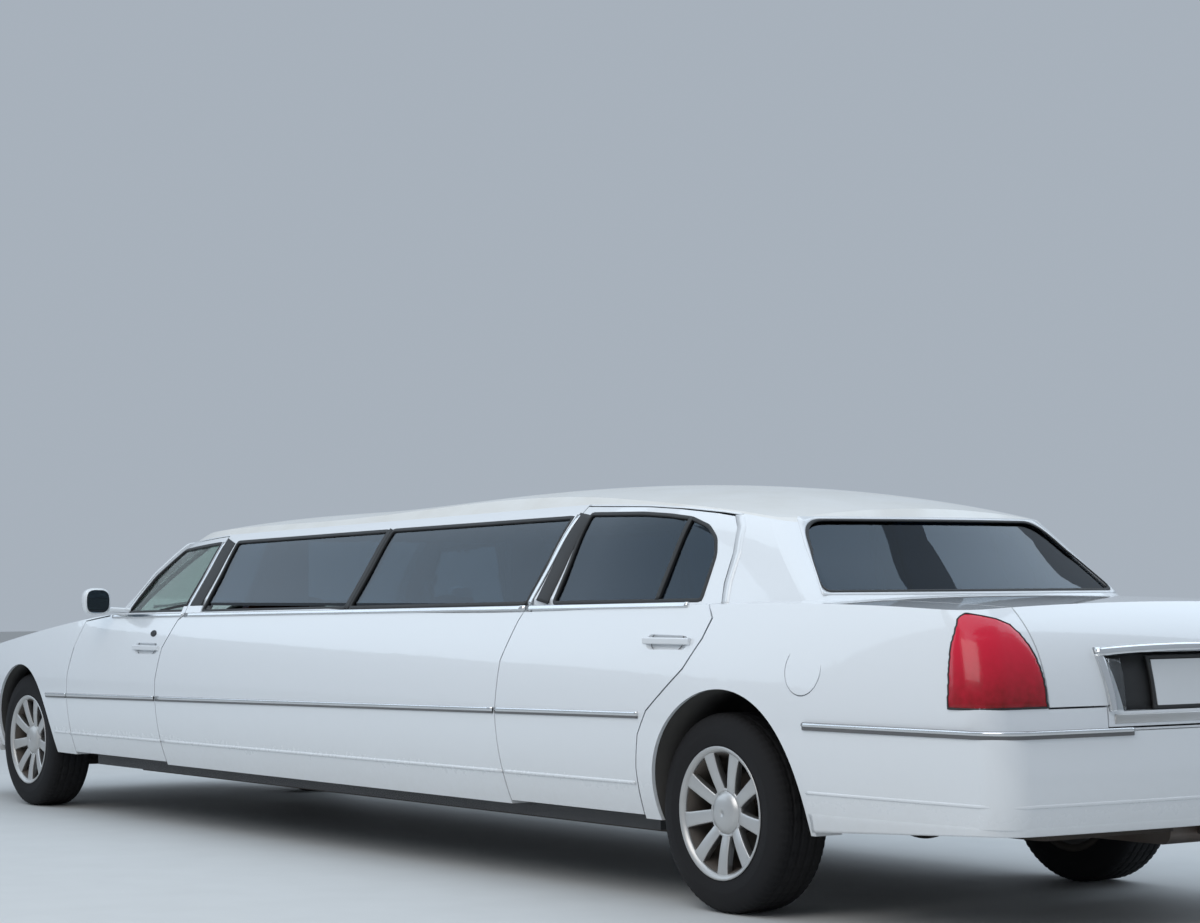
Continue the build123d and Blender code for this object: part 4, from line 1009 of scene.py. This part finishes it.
def valance(sign, count=90):
    """The rear bumper's lower edge, tucked in.

    It is the plan outline at each height above a lower line that rises behind the wheel.
    """
    bottom, corner_rise, corner_share, top, thick = 0.312, 0.040, 0.45, 0.382, 0.006
    heights = np.linspace(0.290, 0.384, 12)
    plans = np.array([end_path(z, True, BUMPER_ROWS, x_start=BUMPER_REAR_X, count=count) for z in heights])
    low = bottom + corner_rise * np.clip(np.linspace(0, 1, count) / corner_share, 0, 1)
    levels = low[None, :] + np.linspace(0, 1, 8)[:, None] * (top - low)[None, :]
    columns = [[np.interp(levels[:, c], heights, plans[:, c, k]) for c in range(count)] for k in (0, 1)]
    outer = np.stack(columns, -1).transpose(1, 0, 2)
    normal = np.array([plan_normals(row, True) for row in outer])
    lift = np.array([0.0008] * 6 + [0.0, -0.0015])[:, None, None]
    outer = np.concatenate([outer + lift * normal, levels[..., None]], -1)
    inner = outer - np.concatenate([thick * normal, np.zeros((*levels.shape, 1))], -1)
    points = np.concatenate([outer, inner[::-1]], axis=0).transpose(1, 0, 2)
    return shell(*on_side(sign, to_row(points)))


class LIMO_OT_body_edges(bpy.types.Operator):
    """Line the wheel arches, close the cabin's door gaps and carry the rear bumper's lower edge"""
    bl_idname = "limousine.body_edges"
    bl_label = "Body edges"

    def execute(self, context):
        roof_edge = rounded_section(0.004, 0.007, 0.001)
        for sign, side in SIDES:
            for name, *sleeve in ARCH_SLEEVES:
                add_mesh(f"arch_liner_{name}_{side}", arch_sleeve(*sleeve, sign), "liner")
            add_mesh(f"quarter_flange_{side}", gap_flange(QUARTER_EDGE, 1, sign), "paint")
            add_mesh(f"pillar_flange_{side}", gap_flange(PILLAR_EDGE, -1, sign), "paint")
            for name, line in ROOF_EDGES.items():
                edge = side_ribbon(line, sign, roof_edge, lift=-0.001, count=40)
                add_mesh(f"roof_edge_{name}_{side}", edge, "paint")
            add_mesh(f"bumper_valance_{side}", valance(sign), "paint")
        return {"FINISHED"}


class LIMO_OT_tail(bpy.types.Operator):
    """Dress the tail: bumper strips, lamps, the plate, its recess and its surround"""
    bl_idname = "limousine.tail"
    bl_label = "Tail"

    def bumper_trim(self, sign, side):
        """The bumper's two-part strip round the corner and the crease below it."""
        strips = (
            ("strip_base", 0.664, (0.010, 0.026, 0.003), 0.002, -0.490, 0.385, "strip_grey", "chrome_trim"),
            ("strip", 0.669, (0.012, 0.014, 0.005), 0.005, -0.490, 0.385, "chrome_trim", "chrome_trim"),
            ("crease", 0.445, (0.010, 0.012, 0.004), -0.002, BUMPER_REAR_X, 0.0, "paint", "paint"),
        )
        for name, z, size, lift, x_start, y_stop, material, slot in strips:
            where = dict(rows=BUMPER_ROWS, x_start=x_start, y_stop=y_stop, count=110)
            strip = end_strip(z, True, rounded_section(*size), sign, lift, **where)
            add_mesh(f"bumper_{name}_{side}", strip, material, slot=slot)

    def tail_lamp(self, sign, side):
        """A swelling red lens over the lamp, with a dark edge round it."""
        points, normals = lamp_grid()
        rows, columns = points.shape[:2]
        across, upward = np.linspace(-1, 1, columns)[None, :, None], np.linspace(-1, 1, rows)[:, None, None]
        swell = 0.0025 + 0.0055 * (1 - across ** 8) * (1 - upward ** 8)
        lens = np.concatenate([points + swell * normals, (points - 0.020 * normals)[:, ::-1]], axis=1)
        path, normal = to_row(around(points)), around(normals)
        edge = across_path(path, normal, closed=True)
        lens, path, normal, edge = on_side(sign, to_row(lens), path, normal, edge)
        add_mesh(f"tail_lamp_lens_{side}", shell(lens), "lamp_red")
        section = rounded_section(0.007, 0.007, 0.002)
        rim = carried(path + 0.001 * normal, normal, edge, section, close_path=True)
        add_mesh(f"tail_lamp_edge_{side}", rim, "rubber", slot="lamp_red")

    def plate(self):
        """The hood over the blank plate, a dark sheet in the recess as painted shade under the hood, the
        bezel, a grey strip on the lip as painted shade, and the plate.
        """
        half, count, lean = 0.416, 70, 0.22
        y = np.linspace(-half, half, count)
        z = 0.911 + 0.012 * (1 - (y / half) ** 2)
        path = to_row(np.column_stack([end_x(y, z) - 0.010, y, z]))
        outwards = np.tile([-1.0, 0.0, 0.0], (count, 1))
        up = np.tile([lean, 0.0, 1.0], (count, 1)) / math.hypot(1, lean)
        hood = carried(path, outwards, up, rounded_section(0.036, 0.030, 0.012, 5))
        add_mesh("plate_hood", hood, "chrome_trim", "boot_lid")
        # A dark rubber sheet over the recess floor: painted shade under the hood.
        recess = ((0.7235, 0.330), (0.76, 0.339), (0.80, 0.349), (0.84, 0.358), (0.905, 0.374))
        recess_shade = self.slab([(height, np.linspace(-half, half, 25)) for height, half in recess], 0.032)
        add_mesh("plate_recess_lining", shell(recess_shade), "rubber", "boot_lid", "trim")
        section = rounded_section(0.012, 0.014, 0.004)
        bars = ([(-0.186, 0.889), (0.186, 0.889)], [(0.180, 0.895), (0.180, 0.724)],
                [(-0.180, 0.895), (-0.180, 0.724)], [(-0.186, 0.730), (0.186, 0.730)])
        bezel = joined([tail_ribbon(bar, section, lift=-0.018, count=20) for bar in bars])
        add_mesh("plate_bezel", bezel, "rubber", "boot_lid", "trim")
        # The lid's lower lip faces down toward the ground; this grey strip is painted shade on it.
        lip = tail_ribbon([(0.375, 0.698), (-0.375, 0.698)], rounded_section(0.010, 0.030, 0.004), count=60)
        add_mesh("boot_lip", lip, "alloy", "boot_lid", "chrome_trim")
        flat = [(height, np.linspace(-0.170, 0.170, 9)) for height in (0.736, 0.738, 0.880, 0.882)]
        blank = self.slab(flat, 0.013, bend=0.0)
        add_mesh("licence_plate", shell(blank), "plate_white", "boot_lid", "trim", smooth=False)

    def slab(self, lines, depth, bend=1.0, thick=0.003):
        """Section points of a thin plate set into the rear face, from its heights and their y.

        A bend of one follows the face, and none keeps the plate flat.
        """
        rows = [np.column_stack([end_x(y * bend, np.full(len(y), z)) + depth, y, np.full(len(y), z)])
                for z, y in lines]
        front = to_row(np.array(rows))
        return np.concatenate([front, front[:, ::-1] + np.array([thick, 0, 0])], axis=1)

    def execute(self, context):
        leg = ([(0.404, 0.905), (0.398, 0.850), (0.383, 0.724)], rounded_section(0.024, 0.030, 0.009, 4))
        lamp = ([(0.343, 0.888), (0.352, 0.728)], rounded_section(0.016, 0.062, 0.008, 4))
        for sign, side in SIDES:
            self.bumper_trim(sign, side)
            self.tail_lamp(sign, side)
            add_mesh(f"plate_surround_leg_{side}", tail_ribbon(*leg, sign, 0.004), "chrome_trim", "boot_lid")
            add_mesh(f"reversing_lamp_{side}", tail_ribbon(*lamp, sign, -0.004, 14), "lamp_clear", "boot_lid")
        self.plate()
        return {"FINISHED"}


def tyre_shape(groove_depth, count=216):
    """A tyre: its half section turned round the axle, with grooves and sipes pressed into the tread."""
    across = np.linspace(0.0775, -0.0775, 32)
    crown = np.column_stack([0.3450 - 0.0009 * (across / 0.0775) ** 2, across])
    outside = [TYRE_SIDE, crown, TYRE_SIDE[::-1] * [1, -1]]
    section = np.concatenate([*outside, TYRE_INSIDE[::-1] * [1, -1], TYRE_INSIDE])
    angle = np.linspace(0, 2 * math.pi, count, endpoint=False)[:, None]
    radius = np.tile(section[:, 0], (count, 1))
    place = np.tile(section[:, 1], (count, 1))
    every_third = np.arange(count)[:, None] % 3 == 0
    tread = (np.abs(place) < 0.0995) & (radius > 0.3340)
    ribs = np.min(np.abs(np.abs(place)[..., None] - np.array([0.0175, 0.0525])), axis=-1) < 0.0032
    sipe = (np.floor(angle * count / 3 / (2 * math.pi) + np.abs(place) * 22) % 2 < 1) & every_third
    shoulder = (np.abs(place) > 0.060) & every_third
    radius -= groove_depth * (tread & ribs) + 0.55 * groove_depth * (tread & ~ribs & (sipe | shoulder))
    points = np.stack([radius * np.cos(angle), place, radius * np.sin(angle)], -1)
    faces = grid_faces(count, len(section), close_rows=True, close_columns=True).tolist()
    return points.reshape(-1, 3), faces


def spoke_shape():
    """A spoke: its outline across, widening and leaning outward from the hub to the lip."""
    radii = np.linspace(0.070, 0.219, 18)
    share = (radii - radii[0]) / (radii[-1] - radii[0])
    width = 0.044 + 0.010 * share + 0.008 * share ** 6
    face = 0.0790 + 0.0210 * share + 0.004 * np.sin(share * math.pi)
    thick = 0.032 - 0.010 * share
    across = SPOKE_OUTLINE[:, 0] * width[:, None]
    outward_place = face[:, None] + SPOKE_OUTLINE[:, 1] * thick[:, None]
    return shell(np.stack([across, outward_place, np.tile(radii[:, None], (1, len(SPOKE_OUTLINE)))], -1))


class LIMO_OT_wheels(bpy.types.Operator):
    """Cut the tread, shape the sidewalls and carry the spokes of each wheel"""
    bl_idname = "limousine.wheels"
    bl_label = "Wheels"

    def execute(self, context):
        sizes = context.scene.limousine_wheel
        spoke, spoke_faces = spoke_shape()
        rim = [revolved(RIM_LIP, count=96), revolved(RIM_HUB, count=72)]
        for number in range(sizes.spokes):
            rim.append((turned_points(spoke, (number + 0.5) * 2 * math.pi / sizes.spokes), spoke_faces))
        parts = (("tyre", tyre_shape(sizes.groove_depth), "tyre", "tyre"),
                 ("rim", joined(rim), "alloy", "alloy"),
                 ("barrel", revolved(RIM_BARREL, count=96), "steel", "alloy"))
        for name, x, y in (("front", WHEELBASE, FRONT_WHEEL_Y), ("rear", 0.0, REAR_WHEEL_Y)):
            for sign, side in SIDES:
                centre = to_row([x, y * sign, WHEEL_Z])
                for part, (vertices, faces), material, slot in parts:
                    placed = vertices * np.array([1, sign, 1])
                    hidden = () if part == "barrel" else (f"{part}_{name}_{side}",)
                    shape = placed + centre, outward(placed, faces)
                    piece = f"{part}_detailed_{name}_{side}"
                    add_mesh(piece, shape, material, f"wheel_{name}_{side}", slot, replaces=hidden)
        return {"FINISHED"}


class LIMO_OT_mirrors(bpy.types.Operator):
    """Shape the mirror housings and set their glass"""
    bl_idname = "limousine.mirrors"
    bl_label = "Door mirrors"

    def execute(self, context):
        middle_y, middle_z = 1.048, 1.071
        u = np.linspace(0, 2 * math.pi, 48, endpoint=False)[None, :]
        oval_y = power(np.cos(u), 0.62)
        oval_z = power(np.sin(u), 0.66) * (1 + 0.05 * np.cos(u))
        v = np.concatenate([np.linspace(-0.04, 0.0, 3)[:2], np.linspace(0, 1, 18)])[:, None]
        swell = np.where(v < 0, 0.97, np.sqrt(np.clip(1 - np.clip(v, 0, 1) ** 2.6, 0.0004, 1)))
        housing = np.stack([4.874 + 0.100 * v + 0 * u, middle_y + 0.068 * swell * oval_y,
                            middle_z + 0.065 * swell * oval_z], -1)
        glass_x = np.array([[4.8660], [4.8690]])
        glass = np.stack([glass_x + 0 * u, middle_y + 0.0590 * oval_y + 0 * glass_x,
                          middle_z + 0.0560 * oval_z + 0 * glass_x], -1)
        share = np.linspace(0, 1, 12)
        arm = np.column_stack([4.888 + 0.01 * share, 0.860 + 0.150 * share,
                               1.022 + 0.008 * np.sin(share * math.pi / 2)])
        along, up = np.tile([1.0, 0, 0], (12, 1)), np.tile([0, 0, 1.0], (12, 1))
        arm_section = rounded_section(0.044, 0.026, 0.010, 4)
        for sign, side in SIDES:
            door = f"door_front_{side}"
            shape, pane, path = on_side(sign, to_row(housing), to_row(glass), to_row(arm))
            hidden = (f"mirror_{side}",)
            add_mesh(f"mirror_housing_{side}", shell(shape), "paint", door, replaces=hidden)
            add_mesh(f"mirror_glass_{side}", shell(pane), "mirror_glass", door, "chrome_trim", smooth=False)
            add_mesh(f"mirror_arm_{side}", carried(path, along, up, arm_section), "paint", door)
        return {"FINISHED"}


class LIMO_OT_seats(bpy.types.Operator):
    """Upholster the front seats, the rear bench and the side bench"""
    bl_idname = "limousine.seats"
    bl_label = "Seats"

    def cushion(self, name, shape):
        """A leather cushion."""
        vertices, faces = shape
        piece = add_mesh(name, (to_row(vertices), faces), "leather")

    def leaning(self, shape, degrees, start, place):
        """A back rest: a cushion that lies along x from the start, turned up and moved to its place."""
        vertices, faces = shape
        return turned_points(vertices - [start, 0, 0], math.radians(degrees)) + place, faces

    def execute(self, context):
        floor_z = 0.327
        for sign, side in SIDES:
            low_y, high_y = sorted((0.19 * sign, 0.65 * sign))
            middle = (low_y + high_y) / 2
            base = block(to_row([4.12, low_y + 0.05, floor_z]), to_row([4.50, high_y - 0.05, 0.50]), 0.012)
            add_mesh(f"front_seat_base_{side}", base, "trim", replaces=("front_seats",))
            seat = pad((4.075, low_y, 0.495), (4.555, high_y, 0.612), 0.34, 0.10, 3)
            back = pad((4.075, low_y + 0.01, -0.06), (4.545, high_y - 0.01, 0.06), 0.36, 0.08, 3)
            head = pad((3.905, middle - 0.12, 0.960), (3.995, middle + 0.12, 1.085), 0.5)
            self.cushion(f"front_seat_cushion_{side}", seat)
            self.cushion(f"front_seat_back_{side}", self.leaning(back, -107, 4.075, [4.125, 0, 0.565]))
            self.cushion(f"front_seat_headrest_{side}", head)
        plinths = [block(to_row([0.612, -0.60, floor_z]), to_row([0.872, 0.60, 0.49]), 0.01),
                   block(to_row([0.980, -0.79, floor_z]), to_row([3.200, -0.34, 0.48]), 0.01)]
        add_mesh("bench_plinths", joined(plinths), "carpet", replaces=("lounge_seats",))
        for number in range(3):
            low_y = -0.60 + number * 0.40
            high_y = low_y + 0.398
            back = pad((0.0, low_y, -0.055), (0.44, high_y, 0.055), 0.34, 0.10, 2)
            seat = pad((0.30, low_y, 0.512), (0.880, high_y, 0.622), 0.32, 0.12, 2)
            self.cushion(f"rear_bench_cushion_{number}", seat)
            self.cushion(f"rear_bench_back_{number}", self.leaning(back, -112, 0.0, [0.375, 0, 0.585]))
        for number in range(4):
            start = 0.98 + number * 0.555
            end = start + 0.552
            seat = pad((start, -0.69, 0.482), (end, -0.33, 0.602), 0.32, 0.12, 2)
            back = pad((start, -0.788, 0.590), (end, -0.688, 0.958), 0.32, 0.0, 2)
            self.cushion(f"side_bench_cushion_{number}", seat)
            self.cushion(f"side_bench_back_{number}", back)
        return {"FINISHED"}


def nose_frame(section, lift=0.0, corner=0.016, count=200):
    """The grille's closed frame on the nose.

    The section's first number is outward, its second across the frame.
    """
    line = spaced(rounded_outline(GRILLE_FRAME, corner), count, closed=True)
    path = to_row(np.column_stack([end_x(line[:, 0], line[:, 1], False) + lift, line]))
    outwards = np.tile([1.0, 0.0, 0.0], (count, 1))
    return carried(path, outwards, across_path(path, outwards, closed=True), section, close_path=True)


def lamp_upright(section, sign, place, lift=0.0, count=16):
    """An upright strip on a headlamp's edge.

    At each height it takes the first (0) or last (-1) point of the plan outline over the lamp.
    """
    heights = np.linspace(HEADLAMP_LOW, HEADLAMP_HIGH, count)
    plans = [end_path(z, False, x_start=HEADLAMP_REAR, y_stop=HEADLAMP_INNER, count=200) for z in heights]
    normal = np.array([np.append(plan_normals(plan, False)[place], 0.0) for plan in plans])
    path = to_row(np.array([np.append(plan[place], z) for plan, z in zip(plans, heights)]) + lift * normal)
    across = np.cross([0.0, 0.0, 1.0], normal)
    return carried(*on_side(sign, path, normal, across), section)


def wiper_part(start, end, section, lift, count=24):
    """A rod along a line of y and z on the windscreen."""
    line = spaced(np.array([start, end]), count)
    outwards = np.tile(SCREEN_OUTWARD, (count, 1))
    path = to_row(np.column_stack([screen_x(line[:, 0], line[:, 1], False), line])) + lift * outwards
    return carried(path, outwards, across_path(path, outwards), section)


class LIMO_OT_front(bpy.types.Operator):
    """Dress the nose: bumper strips, headlamps, wipers and the grille's frame"""
    bl_idname = "limousine.front"
    bl_label = "Nose"

    def headlamp(self, sign, side):
        """The bright edge of a headlamp, and the bowls, bulbs and back behind its lens."""
        bezel, lift, middle_z = rounded_section(0.006, 0.009, 0.002), 0.002, 0.682
        where = dict(x_start=HEADLAMP_REAR, y_stop=HEADLAMP_INNER, count=90)
        edges = [end_strip(z, False, bezel, sign, lift, **where) for z in (HEADLAMP_LOW, HEADLAMP_HIGH)]
        edges += [lamp_upright(bezel, sign, place, lift) for place in (0, -1)]
        add_mesh(f"headlamp_edge_{side}", joined(edges), "chrome_trim")
        bowls, bulbs = [], []
        for y, back in ((0.508, 0.078), (0.634, 0.084), (0.760, 0.130)):
            front = to_row([end_x(y, middle_z, False) - back, y * sign, middle_z])
            bowls.append(revolved(LAMP_BOWL, front, axis="x", count=48))
            bulbs.append(revolved(LAMP_BULB, front, axis="x", count=20))
        add_mesh(f"headlamp_bowls_{side}", joined(bowls), "chrome_trim")
        add_mesh(f"headlamp_bulbs_{side}", joined(bulbs), "plate_white", slot="trim")
        low_y, high_y = sorted((0.448 * sign, 0.818 * sign))
        back = block(to_row([6.76, low_y, 0.612]), to_row([6.80, high_y, 0.752]))
        add_mesh(f"headlamp_back_{side}", back, "liner", slot="trim")

    def wiper(self, low_y, high_y):
        """A wiper's blade low on the windscreen and the arm that carries it."""
        blade = wiper_part((low_y, 1.052), (high_y, 1.036), rounded_section(0.016, 0.008, 0.003), 0.009)
        middle = (low_y + high_y) / 2
        arm = wiper_part((middle, 1.046), (high_y - 0.01, 1.022), rounded_section(0.008, 0.014, 0.003), 0.020)
        return joined([blade, arm])

    def execute(self, context):
        bumper_bar = rounded_section(0.012, 0.022, 0.005)
        for sign, side in SIDES:
            where = dict(rows=BUMPER_ROWS, x_start=BUMPER_FRONT_X, count=90)
            bar = end_strip(0.545, False, bumper_bar, sign, 0.001, **where)
            add_mesh(f"front_bumper_strip_{side}", bar, "chrome_trim")
            self.headlamp(sign, side)
            add_mesh(f"wiper_{side}", self.wiper(*WIPER_Y[side]), "rubber", slot="trim")
        add_mesh("grille_frame", nose_frame(rounded_section(0.014, 0.022, 0.005), 0.003), "chrome_trim")
        return {"FINISHED"}


class LIMO_OT_stage(bpy.types.Operator):
    """Set the floor, the lights and the camera"""
    bl_idname = "limousine.stage"
    bl_label = "Stage"

    def lights(self, scene):
        """A pale sky all round, and soft square lamps that look at the car's middle."""
        world = bpy.data.worlds.new("Studio")
        world.use_nodes = True
        background = world.node_tree.nodes["Background"]
        background.inputs["Color"].default_value = (0.78, 0.88, 1.0, 1)
        background.inputs["Strength"].default_value = 0.50
        scene.world = world
        day, sky = (1.0, 0.98, 0.95), (0.72, 0.86, 1.0)
        lights = (("key", (-6, 9, 9), 8, 500, day), ("fill", (9, 7, 7), 9, 260, sky),
                  ("back", (-4, -10, 8), 8, 300, sky), ("top", (0, 0, 10), 12, 560, sky))
        for name, place, size, strength, colour in lights:
            light = bpy.data.lights.new(name, "AREA")
            light.color = colour
            light.shape, light.size, light.energy = "SQUARE", size, strength
            lamp = bpy.data.objects.new(name, light)
            lamp.location = place
            aim = Vector((0, 0, 0.6)) - Vector(place)
            lamp.rotation_euler = aim.to_track_quat("-Z", "Y").to_euler()
            scene.collection.objects.link(lamp)

    def camera(self, scene):
        """The camera that was fitted to the photograph: its place, its turn and its lens."""
        camera = bpy.data.cameras.new("camera")
        camera.sensor_width = SENSOR_WIDTH
        camera.lens = SENSOR_WIDTH * FOCAL_PIXELS / PHOTO_WIDTH
        eye = bpy.data.objects.new("camera", camera)
        yaw, pitch, roll = (math.radians(angle) for angle in CAMERA_TURN)
        level = math.cos(pitch)
        forward = Vector((level * math.cos(yaw), level * math.sin(yaw), math.sin(pitch)))
        right = Vector((math.sin(yaw), -math.cos(yaw), 0))
        up = right.cross(forward)
        turned_right = right * math.cos(roll) + up * math.sin(roll)
        turned_up = up * math.cos(roll) - right * math.sin(roll)
        turn = Matrix((turned_right, turned_up, -forward)).transposed()
        eye.matrix_world = Matrix.Translation(to_row(CAMERA_PLACE)) @ turn.to_4x4()
        scene.collection.objects.link(eye)
        scene.camera = eye

    def execute(self, context):
        scene = context.scene
        corners = [(-60, -60, 0), (60, -60, 0), (60, 60, 0), (-60, 60, 0)]
        floor = add_mesh("floor", (corners, [(0, 1, 2, 3)]), "floor", body=None, smooth=False)
        self.lights(scene)
        self.camera(scene)
        scene.view_settings.view_transform = "Standard"
        return {"FINISHED"}


class LIMO_PT_panel(bpy.types.Panel):
    """Buttons for the pieces and the stage"""
    bl_idname = "LIMO_PT_panel"
    bl_label = "Limousine"
    bl_space_type = "VIEW_3D"
    bl_region_type = "UI"
    bl_category = "Limousine"

    def draw(self, context):
        for operator in OPERATORS:
            self.layout.operator(operator.bl_idname)


OPERATORS = [
    LIMO_OT_finishes, LIMO_OT_strips, LIMO_OT_window_trims, LIMO_OT_handles, LIMO_OT_body_edges,
    LIMO_OT_tail, LIMO_OT_front, LIMO_OT_wheels, LIMO_OT_mirrors, LIMO_OT_seats, LIMO_OT_stage,
]
CLASSES = [LimousineFinish, LimousineTrim, LimousineWheel, *OPERATORS, LIMO_PT_panel]


def register():
    """Registers the classes and gives the scene their settings."""
    for item in CLASSES:
        bpy.utils.register_class(item)
    bpy.types.Scene.limousine_finish = bpy.props.PointerProperty(type=LimousineFinish)
    bpy.types.Scene.limousine_trim = bpy.props.PointerProperty(type=LimousineTrim)
    bpy.types.Scene.limousine_wheel = bpy.props.PointerProperty(type=LimousineWheel)


def unregister():
    """Takes the settings and the classes away again."""
    del bpy.types.Scene.limousine_wheel
    del bpy.types.Scene.limousine_trim
    del bpy.types.Scene.limousine_finish
    for item in reversed(CLASSES):
        bpy.utils.unregister_class(item)


def main():
    """Makes everything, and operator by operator."""
    register()
    for operator in OPERATORS:
        family, name = operator.bl_idname.split(".")
        getattr(getattr(bpy.ops, family), name)()


if __name__ == "__main__":
    main()
